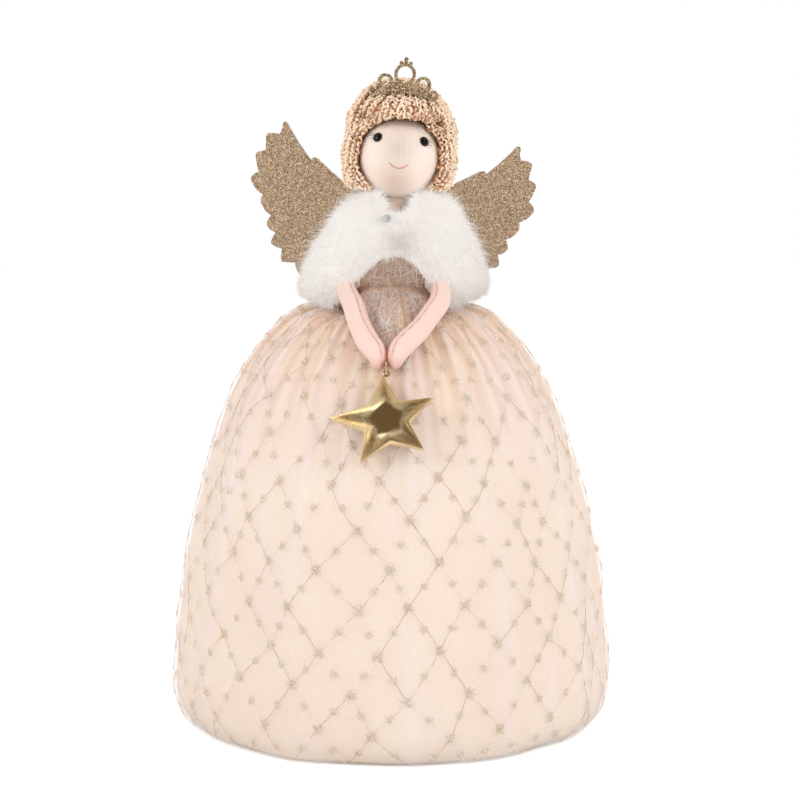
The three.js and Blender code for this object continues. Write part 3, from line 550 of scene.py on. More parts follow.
def bead_material():
    made = Shader("clear_bead", linear(236, 240, 244), Roughness=0.04, Transmission_Weight=0.85,
                  IOR=1.5)
    made.bump(made.noise(0.0012, 2), 0.00008)
    return made.material


def fibre_material(name, colour, roughness, grain, stretch, depth, dark, light):
    """Card or wood: fibres that run along the axis where the stretch is below 1."""
    made = Shader(name, colour, Roughness=roughness)
    fibre = made.noise(grain, 4, 0.6, stretch=stretch)
    made.colour(made.mix(fibre, dark, light))
    made.bump(fibre, depth)
    return made.material


def card_material():
    return fibre_material("card", linear(196, 172, 138), 0.9, 0.0012, (1, 0.25, 1), 0.00015,
                          linear(182, 156, 120), linear(212, 190, 158))


def wood_material():
    return fibre_material("wood", linear(205, 172, 126), 0.6, 0.0016, (1, 1, 0.1), 0.00012,
                          linear(186, 148, 100), linear(220, 190, 148))


# Skirt: satin under tulle, both on one bell, with the lattice sewn on the tulle

MAIN_FOLDS = 13
GATHER_DEPTH, HEM_FOLD_DEPTH, FRONT_FOLD_SHARE = 2.4 * MM, 0.9 * MM, 0.3
PLEAT_DEPTH, FINE_GATHER_DEPTH, SLACK_DEPTH, CREASE_DEPTH = 0.75 * MM, 0.30 * MM, 0.6 * MM, 1.1 * MM
SATIN_GATHER_DEPTH, SATIN_FOLD_SHARE = 0.18 * MM, 0.8
CREASES, CREASE_SEED = 20, 13
FLANK_TURN, FLANK_HALF, FLANK_SHARE, FLANK_SPREAD = 0.95, 0.40, 0.70, 0.16
RUFFLE_SHARE, RUFFLE_HALF, RUFFLE_HEIGHT = 0.885, 0.022, 1.2 * MM
SHOULDER_SINK, SHOULDER_SHARE, SHOULDER_SPREAD = 1.5 * MM, 0.68, 0.15
RIDGE_TURN, RIDGE_HALF, RIDGE_HEIGHT = 6.0 * DEGREES, 1.7 * DEGREES, 1.6 * MM
RIDGE_FOOT, RIDGE_SPREAD = 108 * MM, 30 * MM
SATIN_THICKNESS = 0.35 * MM


BELL_STEPS = 500
NARROWS_FROM = BELL_STEPS * 3 // 10  # from here on the bell only narrows


def bell_line(depth):
    """The bell's radius, height and length so far, from hem to waist, depth inside the tulle's outer face."""
    side, rim = SKIRT_RADIUS - depth, WAIST_RIM_RADIUS - depth
    rise, dip = CROWN_HEIGHT - depth - BELLY_HEIGHT, CROWN_HEIGHT - WAIST_HEIGHT
    down = np.linspace(1, 0, BELL_STEPS // 4, endpoint=False)
    hem_z = BELLY_HEIGHT + (HEM_HEIGHT + depth / 2 - BELLY_HEIGHT) * down
    hem_r = side - (SKIRT_RADIUS - HEM_RADIUS) * down ** 3
    last = math.acos((rim / side) ** (SIDE_POWER / 2))
    turn = last * (1 - (1 - np.linspace(0, 1, BELL_STEPS)) ** 1.75)
    radius = side * np.cos(turn) ** (2 / SIDE_POWER)
    sunk = np.maximum(0, (WAIST_DIP_RADIUS - radius) / (WAIST_DIP_RADIUS - rim)) ** 2
    height = BELLY_HEIGHT + rise * np.sin(turn) ** (2 / TOP_POWER) - dip * sunk
    radius, height = np.append(hem_r, radius), np.append(hem_z, height)
    length = np.append(0, np.cumsum(np.hypot(np.diff(radius), np.diff(height))))
    return radius, height, length


class Bell:
    """A skirt layer: its place at a turn about Z (0 faces -Y) and a length up from the hem."""

    def __init__(self, depth, folds):
        self.radius, self.height, self.length = bell_line(depth)
        self.folds = folds

    @property
    def reach(self):
        return self.length[-1]

    def point(self, turn, up, lift=0.0):
        stand = self.folds(turn, up / self.reach, np.interp(up, self.length, self.height)) + lift
        r, z = off_profile(up, self.length, self.radius, self.height, stand, step=0.5 * MM)
        return around(r, turn, z)


def round_noise(turn, along, count, seed, waves=6):
    """Unevenness round the skirt that closes on itself, about count swells in a full turn."""
    draw = np.random.default_rng(seed)
    whole = np.maximum(1, np.round(count * draw.uniform(0.6, 1.5, waves)))
    phase = draw.uniform(0, TAU, waves)
    lean = draw.normal(0, 1.6, waves)
    return sum(np.sin(k * turn + p + s * along) for k, p, s in zip(whole, phase, lean)) / math.sqrt(waves)


def bend_from(turn, middle=0.0):
    """How far a turn is from a middle one, the shorter way round."""
    return (turn - middle + math.pi) % TAU - math.pi


def tulle_folds(turn, share, height):
    """How far the tulle stands off: the solid's main folds, then gathers, slack, creases, the ruffle at the
    waist, the fold that stands up beside the star's thread, and the shoulder's sinking in."""
    climb = np.clip((height - BELLY_HEIGHT) / (WAIST_HEIGHT - BELLY_HEIGHT), 0, 1)
    calm = 1 - (1 - FRONT_FOLD_SHARE) * np.maximum(0, np.cos(turn)) ** 2
    swell = 0.5 + 0.5 * np.cos(MAIN_FOLDS * turn)
    main = (HEM_FOLD_DEPTH + (GATHER_DEPTH - HEM_FOLD_DEPTH) * climb ** 2) * calm * swell
    top = np.clip((share - 0.42) / 0.58, 0, 1)
    pleats = PLEAT_DEPTH * top ** 1.5 * (1 + round_noise(turn, 3 * share, 46, 11))
    gathers = FINE_GATHER_DEPTH * top ** 3 * (1 + round_noise(turn, 2 * share, 88, 14))
    slack = SLACK_DEPTH * (1 + round_noise(turn, 5 * share, 9, 12)) * (1 - top)
    crest = np.clip(round_noise(turn, 2 * share, CREASES, CREASE_SEED) - 0.5, 0, 1)
    crease = CREASE_DEPTH * crest * np.clip(share * 4, 0, 1)
    beside = 1 - hump(bend_from(turn), 0, 0.6)
    band = hump(share, RUFFLE_SHARE, RUFFLE_HALF)
    ruffle = RUFFLE_HEIGHT * band * beside * np.clip(0.7 + 0.5 * round_noise(turn, 0, 15, 15), 0, 1.3)
    near_hands = np.clip((height - RIDGE_FOOT) / RIDGE_SPREAD, 0, 1)
    ridge = RIDGE_HEIGHT * hump(bend_from(turn, RIDGE_TURN), 0, RIDGE_HALF) * near_hands
    sink = SHOULDER_SINK * np.clip((share - SHOULDER_SHARE) / SHOULDER_SPREAD, 0, 1)
    return main + pleats + gathers + slack + crease + ruffle + ridge - sink


def tulle_tone(turn, share):
    """How white the net looks: along its creases, down the standing fold, and on both flanks as painted sheen
    where the net is seen edge-on.
    """
    crest = np.clip(round_noise(turn, 2 * share, CREASES, CREASE_SEED) - 0.3, 0, 1)
    # Painted sheen: the net is whiter on both flanks, where it is seen edge-on.
    flank_sheen = hump(np.abs(bend_from(turn)), FLANK_TURN, FLANK_HALF) * hump(share, FLANK_SHARE, FLANK_SPREAD)
    flank_sheen = flank_sheen * np.clip(0.75 + 0.35 * round_noise(turn, 4 * share, 14, 17), 0, 1.2)
    ridge = hump(bend_from(turn, RIDGE_TURN), 0, RIDGE_HALF) * np.clip((share - 0.45) / 0.1, 0, 1)
    return np.clip(0.8 * crest + flank_sheen + ridge + 0.2 * round_noise(turn, 6 * share, 12, 16), 0, 1)


def satin_folds(turn, share, height):
    """The satin follows the tulle, a little flatter, with fine gathers of its own."""
    top = np.clip((share - 0.5) / 0.5, 0, 1)
    own = SATIN_GATHER_DEPTH * top * (1 + round_noise(turn, 2 * share, 34, 21))
    return SATIN_FOLD_SHARE * tulle_folds(turn, share, height) - own


def satin_gather_shading(turn, share):
    """Painted light and shade on the gathers: darker and lighter streaks, from 0 to 1."""
    return np.clip(0.5 + 0.5 * round_noise(turn, share, 52, 22), 0, 1)


TULLE = Bell(0, tulle_folds)
SATIN = Bell(LINING_DEPTH, satin_folds)


def bell_sheet(name, bell, columns, rows, material, slot, tone):
    """The whole of a skirt layer as a piece; tone is a function of the turn and the share of the way up."""
    up, turn = np.meshgrid(np.linspace(0, bell.reach, rows), np.arange(columns) * TAU / columns,
                           indexing="ij")
    return piece(name, bell.point(turn, up).reshape(-1, 3), [grid_faces(rows, columns, wrap=True)], material,
                 slot, tone=tone(turn, up / bell.reach).ravel())


DIAMONDS = 23
ROW_STEP = 17.6 * MM
FIRST_ROW = -2.0 * MM
FIRST_NODE = 5.3 * DEGREES
WANDER_ACROSS, WANDER_UP = 0.13, 0.12
THREAD_RADIUS = 0.13 * MM
KNOT_RADIUS, DOT_RADIUS = 2.1 * MM, 1.6 * MM
KNOT_STITCHES, DOT_STITCHES, STITCH_RADIUS, STITCH_STEPS = 20, 15, 0.09 * MM, 5
THREAD_STEPS, THREAD_SAG, THREAD_SHIVER = 17, 0.55, 0.13  # the last two in mm
BARE_AT_WAIST = 4 * MM


def lattice_node(row, column):
    """Turn and length up of a lattice crossing; odd rows stand half a diamond over."""
    spread = TAU / DIAMONDS
    turn = FIRST_NODE + (column + 0.5 * (row % 2)) * spread
    up = FIRST_ROW + row * ROW_STEP
    sideways, upward = round_noise(turn, row, 7, 31), round_noise(turn, row, 5, 32)
    return turn + WANDER_ACROSS * spread * sideways, up + WANDER_UP * ROW_STEP * upward


def lattice():
    """Threads, the knots where they cross and the smaller dots halfway along them."""
    rows = int((TULLE.reach - FIRST_ROW) / ROW_STEP)
    row, column = (a.ravel() for a in np.meshgrid(np.arange(rows + 1), np.arange(DIAMONDS), indexing="ij"))
    turn, up = lattice_node(row, column)
    starts, ends = [], []
    for side in (0, 1):
        far_turn, far_up = lattice_node(row + 1, column + (row % 2) - side)
        starts.append(np.stack([turn, up], 1))
        ends.append(np.stack([far_turn, far_up], 1))
    starts, ends = np.concatenate(starts), np.concatenate(ends)
    kept = (starts[:, 1] > -ROW_STEP) & (ends[:, 1] < TULLE.reach + ROW_STEP * 0.5)
    starts, ends = starts[kept], ends[kept]
    draw = np.random.default_rng(33)
    share = np.linspace(0, 1, THREAD_STEPS)
    way = starts[:, None] + (ends - starts)[:, None] * share[:, None]
    sag = np.sin(share * math.pi) * draw.normal(0, THREAD_SAG, (len(starts), 1)) * MM
    shiver = draw.normal(0, THREAD_SHIVER, way.shape[:2]) * MM
    across = (sag + shiver) / SKIRT_RADIUS
    low = way[..., 1].clip(0.2 * MM, TULLE.reach - 0.2 * MM)
    dive = np.sin(share * 5.5 + draw.uniform(0, TAU, (len(starts), 1)))
    path = TULLE.point(way[..., 0] + across, low, lift=THREAD_RADIUS * (0.5 + 0.6 * dive))
    radii = THREAD_RADIUS * draw.uniform(0.6, 1.2, path.shape[:2])
    radii[way[..., 1] < 0] = 0.02 * MM
    points, faces, strand, _ = tubes(path, radii, away(path), sides=4, pointed=False)
    # Painted glint: each thread is made lighter or darker at random.
    glint = draw.uniform(0, 0.55, len(starts))[strand]
    threads = (points, faces, glint)

    inside = (up > 1.5 * MM) & (up < TULLE.reach - BARE_AT_WAIST)
    knots = stitched_pads(np.stack([turn, up], 1)[inside], KNOT_RADIUS, KNOT_STITCHES, 34)
    middles = (starts + ends) / 2
    middles = middles[(middles[:, 1] > 1 * MM) & (middles[:, 1] < TULLE.reach - BARE_AT_WAIST)]
    dots = stitched_pads(middles, DOT_RADIUS, DOT_STITCHES, 35)
    return threads, knots, dots


def stitched_pads(places, radius, stitches, seed):
    """Round embroidered dots: short stitches laid across each place at turning angles."""
    draw = np.random.default_rng(seed)
    count = len(places)
    angle = (np.arange(stitches) / stitches * math.pi)[None] + draw.normal(0, 0.25, (count, stitches))
    reach = radius * draw.uniform(0.65, 1.1, (count, stitches))
    shift = draw.normal(0, 0.28, (count, stitches, 2)) * radius
    share = np.linspace(-1, 1, STITCH_STEPS)
    out_r = np.interp(places[:, 1], TULLE.length, TULLE.radius)[:, None, None]
    side = (shift[..., :1] + np.cos(angle)[..., None] * reach[..., None] * share) / np.maximum(out_r, 20 * MM)
    rise = shift[..., 1:] + np.sin(angle)[..., None] * reach[..., None] * share
    turn = places[:, 0][:, None, None] + side
    up = (places[:, 1][:, None, None] + rise).clip(0.1 * MM, TULLE.reach - 0.1 * MM)
    lift = (0.02 + 0.14 * (1 - share ** 2) + 0.012 * np.arange(stitches)[:, None]) * MM
    path = TULLE.point(turn, up, lift=lift[None]).reshape(count * stitches, STITCH_STEPS, 3)
    radii = np.full(path.shape[:2], STITCH_RADIUS) * draw.uniform(0.7, 1.3, (count * stitches, 1))
    points, faces, strand, _ = tubes(path, radii, away(path), sides=3, pointed=False)
    return points, faces, draw.uniform(0, 0.8, count * stitches)[strand]


def build_skirt():
    satin = bell_sheet("skirt_satin", SATIN, 420, 150, satin_material(), "peach_satin", satin_gather_shading)
    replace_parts(thickened(satin, SATIN_THICKNESS), "skirt_lining")
    tulle = bell_sheet("skirt_tulle", TULLE, 600, 166, tulle_material(), "tulle", tulle_tone)
    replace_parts(tulle, "skirt_overlay")
    threads, knots, dots = lattice()
    for name, (points, faces, tone), material in (
            ("lattice_threads", threads, thread_material()),
            ("lattice_knots", knots, knot_material()),
            ("lattice_dots", dots, knot_material())):
        piece(name, points, faces, material, "tulle", tone=tone)


# Body: torso, waist, bodice and the yarn-trimmed front that lies on the skirt's crown

TORSO = through(np.array(TORSO_OUTLINE) * MM, 80, centripetal=False)
BODICE_STAND, BODICE_INSIDE = 1.1 * MM, 0.35 * MM
BODICE_TOP, BODICE_HEM = 217.3 * MM, 172.6 * MM
FRONT_TOP, FRONT_LENGTH = 213 * MM, 67 * MM
FRONT_LEAVES, FRONT_JOINS, FRONT_PUSH = 8 * MM, 22 * MM, 3.5 * MM
FRONT_COLUMNS, FRONT_ROWS, FRONT_THICKNESS = 100, 150, 0.35 * MM

# The ribbon's inner radius, and how far its section stands out and up, in mm
RIBBON_RADIUS = 18.85
RIBBON_SECTION = ((0, 0.3), (0.9, 0.4), (1.5, 0.9), (1.6, 1.7), (1.4, 2.6), (0.7, 3.2), (0, 3.2), (0.2, 1.7))

# The dress front: its distance from Z at each way down, its stand over the skirt at each distance, and
# half its width at each way down
FRONT_DOWN = np.array((0, 7, 13.5, 20.2, 28, 37.2, 48.6, 63.2, 72)) * MM
FRONT_RADII = np.array((18.9, 18.6, 20.5, 25, 32, 40, 50, 60, 65)) * MM
FRONT_STAND_AT = np.array((21, 25, 32, 40, 48)) * MM
FRONT_STAND = np.array((17.5, 11.5, 5.6, 1.5, 0.9)) * MM
FRONT_HALF_WIDTH = np.array(((0, 17), (13.5, 18.5), (24, 19.5), (36, 17.5), (50, 14), (63, 8), (72, 4))) * MM

# Where the yarn leaves the bodice bare: less far down than this and between these ways across
BARE_DOWN, BARE_FROM, BARE_TO = 12 * MM, -1 * MM, 8 * MM

# Each coat of eyelash yarn: count of strands, steps of a strand, thickness and how pale it is
LASH_COATS = ((150, 30, 0.13 * MM, 0.3), (260, 30, 0.085 * MM, 0.15), (420, 22, 0.05 * MM, 0.0))


def torso_radius(height):
    return np.interp(height, TORSO[:, 1], TORSO[:, 0])


def front_cloth(across, down, lift=0.0):
    """The dress front: down the bodice from its top, then in one slope out over the crown of the skirt."""
    height = FRONT_TOP - np.minimum(down, FRONT_JOINS)
    r = torso_radius(height) + BODICE_STAND + lift + FRONT_PUSH * smooth_step(down / FRONT_JOINS)
    upper = around(r, across / r, height)
    reach = np.maximum(np.interp(down, FRONT_DOWN, FRONT_RADII), WAIST_RIM_RADIUS + 0.2 * MM)
    low_turn = np.arcsin(np.clip(across / reach, -0.95, 0.95))
    up = np.interp(-reach, -TULLE.radius[NARROWS_FROM:], TULLE.length[NARROWS_FROM:])
    edge = np.clip(np.abs(across) / front_half_width(down), 0, 1) ** 4
    stand = np.interp(reach, FRONT_STAND_AT, FRONT_STAND) * (1 - 0.6 * edge)
    lower = TULLE.point(low_turn, up, lift) + stand[..., None] * np.array((0, 0, 1))
    share = smooth_step((down - FRONT_LEAVES) / (FRONT_JOINS - FRONT_LEAVES))[..., None]
    return upper * (1 - share) + lower * share


def front_half_width(down):
    """Half the dress front's width, so that both arms cover its edges."""
    return np.interp(down, FRONT_HALF_WIDTH[:, 0], FRONT_HALF_WIDTH[:, 1])


def build_torso():
    rows = np.concatenate([[[2 * MM, TORSO[0, 1]]], TORSO, [[2 * MM, TORSO[-1, 1]]]])
    torso = turned(rows, 64)
    torso += ripple(torso, 9 * MM, 41)[..., None] * 0.12 * MM * away(torso)
    stuffed = piece("torso_stuffed", *capped(torso), cloth_material("cotton", linear(232, 210, 190),
                    linear(222, 196, 174)), "cotton")
    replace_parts(stuffed, "torso_core")


def build_bodice(taupe):
    height = np.linspace(BODICE_HEM, BODICE_TOP, 70)
    outer = turned(np.stack([torso_radius(height) + BODICE_STAND, height], 1), 140)
    puckers = ripple(outer * (1, 1, 0.25), 3 * MM, 42)[..., None] * 0.16 * MM
    outer += (puckers - 0.1 * MM) * away(outer)
    inner = turned(np.stack([torso_radius(height) + BODICE_INSIDE, height], 1), 140)[::-1]
    bodice = piece("bodice_cloth", *wound(np.concatenate([outer, inner])), taupe, "taupe_satin")
    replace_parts(bodice, "bodice")


def build_front(taupe):
    """The panel over bodice and skirt, with the yarn that lies on it."""
    share, down = np.meshgrid(np.linspace(-1, 1, FRONT_COLUMNS), np.linspace(0, 1, FRONT_ROWS), indexing="ij")
    down = (FRONT_LENGTH - 6 * MM * share ** 2) * down
    across = share * front_half_width(down)
    pucker = (1 + round_noise(across / MM * 0.35, down / MM * 0.05, 1.6, 43)) * 0.4 * MM
    panel = front_cloth(across, down, 0.3 * MM + pucker)
    front = piece("dress_front", panel.reshape(-1, 3), [grid_faces(FRONT_COLUMNS, FRONT_ROWS)], taupe,
                  "taupe_satin")
    thickened(front, FRONT_THICKNESS, outward=1.0)

    draw = np.random.default_rng(44)
    curls = [lashes(draw, *coat) for coat in LASH_COATS] + [white_tuft(draw, 80)]
    points, faces = merged([curl[:2] for curl in curls])
    piece("dress_yarn", points, faces, lash_material(), "taupe_satin",
          tone=np.concatenate([curl[2] for curl in curls]))


def build_waist():
    turns = np.arange(160) * TAU / 160
    ribbon = []
    for out, z in RIBBON_SECTION:
        r = (RIBBON_RADIUS + out) * MM + 0.12 * MM * np.sin(23 * turns) * (out > 0)
        ribbon.append(around(r, turns, WAIST_HEIGHT + z * MM))
    waist = piece("waist_ribbon", *wound(np.array(ribbon)), satin_material(), "peach_satin")
    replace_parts(waist, "waist_tie")


def build_body():
    build_torso()
    taupe = taupe_material()
    build_bodice(taupe)
    build_front(taupe)
    build_waist()


def lashes(draw, count, steps, thickness, pale):
    """Curly strands that wander over the dress front and leave the middle of the bodice bare."""
    down = draw.uniform(0.05, 1, count) ** 0.8 * (FRONT_LENGTH - 4 * MM)
    across = draw.uniform(-1, 1, count) * front_half_width(down)
    bare = (down < BARE_DOWN) & (across > BARE_FROM) & (across < BARE_TO)
    down = np.where(bare, down + FRONT_JOINS, down)
    heading = draw.uniform(0, TAU, count)
    bend = draw.normal(0, 0.09, count)
    pace = draw.uniform(0.5, 1.1, count) * MM
    tall = draw.uniform(0.3, 2.4, count) * MM
    path, wobble = [], draw.uniform(0, TAU, count)
    for i in range(steps):
        lift = 0.5 * MM + tall * np.sin(math.pi * i / steps) * (0.7 + 0.3 * np.sin(i * 0.9 + wobble))
        path.append(front_cloth(across, down, lift))
        heading += bend + 0.16 * np.sin(i * 0.8 + wobble)
        down = np.clip(down + pace * np.sin(heading), 1 * MM, FRONT_LENGTH - 2 * MM)
        wide = front_half_width(down)
        across = np.clip(across + pace * np.cos(heading), -wide, wide)
    radii = thickness * np.linspace(1, 0.6, steps) * draw.uniform(0.7, 1.3, (count, 1))
    points, faces, strand, _ = tubes(np.stack(path, 1), radii, sides=4)
    return points, faces, (pale + draw.uniform(0, 0.8, count))[strand]


def white_tuft(draw, count):
    """A small white tuft that stands up above the hands."""
    across, down = -1.9 * MM + draw.normal(0, 0.8, count) * MM, 46 * MM + draw.normal(0, 1.1, count) * MM
    root = front_cloth(across, down, 0.3 * MM)
    lead = unit(np.array((0, -0.6, 0.8)) + draw.normal(0, 0.45, (count, 3)))
    share = np.linspace(0, 1, 6)[None, :, None]
    curve = draw.normal(0, 0.6, (count, 1, 3)) * share ** 2
    path = root[:, None] + (share * lead[:, None] + curve) * draw.uniform(1.8, 3.4, (count, 1, 1)) * MM
    points, faces, _, _ = tubes(path, np.full((count, 6), 0.14 * MM), sides=4)
    return points, faces, np.ones(len(points))


# Head: knit cover over the ball, eyes, lashes, smile, neck and bead

EYE_X, EYE_RISE, EYE_RADIUS, EYE_DOME = 10.2 * MM, 7.95 * MM, 2.25 * MM, 1.4 * MM
SMILE_HALF, SMILE_SAG, SMILE_DROP, SMILE_THREAD = 4.3 * MM, 2.2 * MM, 2.4 * MM, 0.20 * MM
EYE_LASHES = ((-12, 2.6), (8, 2.9), (28, 2.3), (-30, 1.6))  # lean in degrees, length in mm
LASH_STEPS = 7
COVER_THICKNESS, COVER_HOLE = 0.5 * MM, 3.6 * MM
NECK_RADIUS, NECK_INSIDE, NECK_TOP, NECK_FLARE = 3.3 * MM, 2.7 * MM, -17.5 * MM, 0.25 * MM
TIE_RING_RADIUS, TIE_RING_HEIGHT, TIE_RING_STEPS = 3.55 * MM, -18.0 * MM, 60
BEAD_CENTRE = Vector((-1.8, -20.4, 228.4)) * MM
BEAD_RADIUS = 1.9 * MM


def on_face(x, z, lift):
    """Head-local points over the face, lift above its cover."""
    reach = COVER_RADIUS + lift
    return np.stack([x, -np.sqrt(reach ** 2 - x ** 2 - z ** 2), z], -1)


def ball_line(radius, turn):
    """A ball's profile at turns up from its lowest point."""
    return np.stack([radius * np.sin(turn), -radius * np.cos(turn)], 1)


def build_face():
    turn = np.linspace(math.asin(COVER_HOLE / COVER_RADIUS), math.pi - 0.02, 110)
    outside = turned(ball_line(COVER_RADIUS, turn), 128)
    inside = turned(ball_line(COVER_RADIUS - COVER_THICKNESS, turn), 128)[::-1]
    cover = piece("face_knit", *wound(placed(np.concatenate([outside, inside]), HEAD_FRAME)),
                  face_material(), "face_knit")
    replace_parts(cover, "head_cover")

    black = eye_material()
    lash_paths = []
    for name, side in (("left_eye", -1), ("right_eye", 1)):
        outward = Vector(on_face(np.array(side * EYE_X), np.array(EYE_RISE), 0)).normalized()
        rise = np.linspace(0, math.pi / 2 - 0.03, 16)
        dome = np.concatenate([[[EYE_RADIUS * 0.96, -0.25 * MM]],
                               np.stack([EYE_RADIUS * np.cos(rise), EYE_DOME * np.sin(rise)], 1)])
        seat = outward.to_track_quat("Z", "Y").to_matrix().to_4x4()
        seat = HEAD_FRAME @ Matrix.Translation(outward * (COVER_RADIUS + 0.3 * MM)) @ seat
        eye = piece(name + "_bead", *capped(placed(turned(dome, 40), seat)), black, "eye_black")
        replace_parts(eye, name)
        for angle, length in EYE_LASHES:
            lean = angle * DEGREES
            share = np.linspace(0, 1, LASH_STEPS)
            out = EYE_RADIUS * 0.8 + share * length * MM
            x = side * (EYE_X + out * math.cos(lean))
            z = EYE_RISE + out * math.sin(lean) - side * 0.4 * MM - 0.5 * MM * share ** 2
            lash_paths.append(on_face(x, z, 0.25 * MM))
    lash_paths = placed(np.array(lash_paths), HEAD_FRAME)
    radii = np.linspace(0.11, 0.05, LASH_STEPS) * MM * np.ones((len(lash_paths), 1))
    strand_piece("eye_lashes", lash_paths, radii, 4, black, "eye_black", pointed=True)

    share = np.linspace(-1, 1, 40)
    smile = on_face(share * SMILE_HALF, -SMILE_DROP - SMILE_SAG * (1 - share ** 2), 0.12 * MM)
    smile = placed(smile, HEAD_FRAME)[None]
    radii = SMILE_THREAD * (1 - 0.5 * share ** 6) * (0.9 + 0.1 * np.sin(share * 60))
    pink = cloth_material("pink_thread", linear(216, 118, 124), linear(202, 100, 108), 0.0003)
    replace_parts(strand_piece("smile_thread", smile, radii[None], 8, pink, "pink_thread"), "mouth_stitch")


def build_neck():
    """The neck's cloth, the brown thread round its top and the bead before it."""
    low = -HEAD_RISE + 0.6 * MM
    height = np.linspace(low, NECK_TOP, 26)
    flare = NECK_FLARE * ((height - low) / (NECK_TOP - low)) ** 4
    outer = turned(np.stack([NECK_RADIUS + flare, height], 1), 48)
    outer += ripple(outer, 2 * MM, 52)[..., None] * 0.06 * MM * away(outer)
    inner = turned(np.stack([0 * height + NECK_INSIDE, height], 1), 48)[::-1]
    neck = piece("neck_cloth", *wound(placed(np.concatenate([outer, inner]), HEAD_FRAME)),
                 cloth_material("neck_cotton", linear(224, 190, 170), linear(206, 170, 150)), "cotton")
    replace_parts(neck, "neck_sleeve")
    turn = np.linspace(0, TAU, TIE_RING_STEPS, endpoint=False)
    ring = placed(around(TIE_RING_RADIUS, turn, TIE_RING_HEIGHT), HEAD_FRAME)
    ring = np.concatenate([ring, ring[:2]])[None]
    brown = cloth_material("brown_thread", linear(96, 66, 52), linear(70, 48, 40), 0.0003)
    strand_piece("neck_thread", ring, np.full(ring.shape[:2], 0.22 * MM), 6, brown, "pink_thread")

    bead = turned(ball_line(BEAD_RADIUS, np.linspace(0.12, math.pi - 0.12, 20)), 32) + np.array(BEAD_CENTRE)
    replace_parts(piece("glass_bead", *capped(bead), bead_material(), "clear_bead"), "neck_bead")


# Hair: kinked yarn laid over the head from the crown, over knobbly shells of a deeper colour that is painted
# shade deep in the hair

HAIR_DEPTH_SHARE = 0.93
HAIR_SHOULDER, HAIR_TOP, HAIR_RADIUS = 8 * MM, 33.5 * MM, 25.7 * MM
FACE_HALF, FRINGE_SIDE, FRINGE_MIDDLE = 18 * MM, 11.7 * MM, 16.9 * MM
LEFT_HAIR_END, RIGHT_HAIR_END = -16 * MM, -13.5 * MM
YARN_RADIUS, YARN_COIL, YARN_PITCH = 0.58 * MM, 0.82 * MM, 2.3 * MM
YARN_REACH = YARN_RADIUS + YARN_COIL
YARN_STEPS_A_LOOP = 9
DOME_STEPS, STRAND_STEPS = 160, 90
SHELL_INSET, SHELL_KNOB, SHELL_KNOB_WIDTH, SHELL_THICKNESS = 2.9 * MM, 0.5 * MM, 1.7 * MM, 2.6 * MM
CROWN_RISE, LEFT_PUSH, FOREHEAD_RADIUS, LOCKS_BACK = 2.4 * MM, 1.5 * MM, 22.2 * MM, 0.65
FRINGE_TURN, LOCK_TURN = 39 * DEGREES, 95 * DEGREES
FRINGE_SHELL, BACK_SHELL = np.linspace(-58, 58, 100) * DEGREES, np.linspace(56, 304, 220) * DEGREES

# For each of a strand's three swings, how slowly it drifts and how far
YARN_DRIFT = ((0.23, 1.5), (0.31, 1.7), (0.17, 1.2))

# In mm: the edge strands' distances beside the face and their depths, then each fringe strand's distance
# from the head's middle and its height above the fringe's edge
EDGE_ROWS, EDGE_DEPTHS = (1.2, 3.3, 5.4, 6.9), (-8.6, -5.4, -2.2)
FRINGE_ROWS = ((20.2, 1.4), (22.0, 2.4))
CLOSE_SIDES, CLOSE_SHARE = 6, 1.0

# Each layer's count of strands, inset in mm, sides of a strand and share of the yarn's radius
HAIR_LAYERS = ((66, 1.7, 6, 1.0), (56, 3.4, 5, 1.0), (40, 1.1, 6, 0.85))


def hair_profile():
    rise = np.linspace(math.pi / 2, 0, DOME_STEPS)
    dome = np.stack([HAIR_RADIUS * np.cos(rise),
                     HAIR_SHOULDER + (HAIR_TOP - HAIR_SHOULDER) * np.sin(rise)], 1)
    side = np.array([(26.3, -4), (25.4, -9), (24.4, -13), (23.4, -16)]) * MM
    return np.concatenate([dome, side])


HAIR_LINE = hair_profile()
HAIR_RUN = run_of(HAIR_LINE)


def hair_point(turn, run, inset):
    """Head-local place on the hair: its turn (0 faces front), its way down from the crown and its depth."""
    r, z = off_profile(run, HAIR_RUN, HAIR_LINE[:, 0], HAIR_LINE[:, 1], inset, step=MM)
    return around(r, turn, z, HAIR_DEPTH_SHARE)


def settled(place):
    """Hair points as they lie: the locks back from the cheeks, the fringe in to the forehead, the crown up
    behind the tiara and the left shoulder of the hair out a little."""
    x, y, z = np.moveaxis(place, -1, 0)
    crown = smooth_step((y + 12 * MM) / (8 * MM)) * smooth_step((z - 20 * MM) / (10 * MM))
    crown = crown * (1 - 0.6 * smooth_step(x / (18 * MM)))
    forehead = -np.sqrt(np.maximum(0, FOREHEAD_RADIUS ** 2 - x ** 2 - np.minimum(z, 16 * MM) ** 2))
    share = smooth_step((23 * MM - z) / (8 * MM)) * smooth_step((21 * MM - np.abs(x)) / (7 * MM))
    y = np.maximum(y, y + (forehead - y) * share)
    low = smooth_step((16 * MM - z) / (8 * MM))
    y = y - LOCKS_BACK * np.minimum(y + 5 * MM, 0) * low
    x = x - LEFT_PUSH * smooth_step((z - 10 * MM) / (8 * MM)) * smooth_step((-x - 8 * MM) / (8 * MM))
    return np.stack([x, y, z + CROWN_RISE * crown], -1)


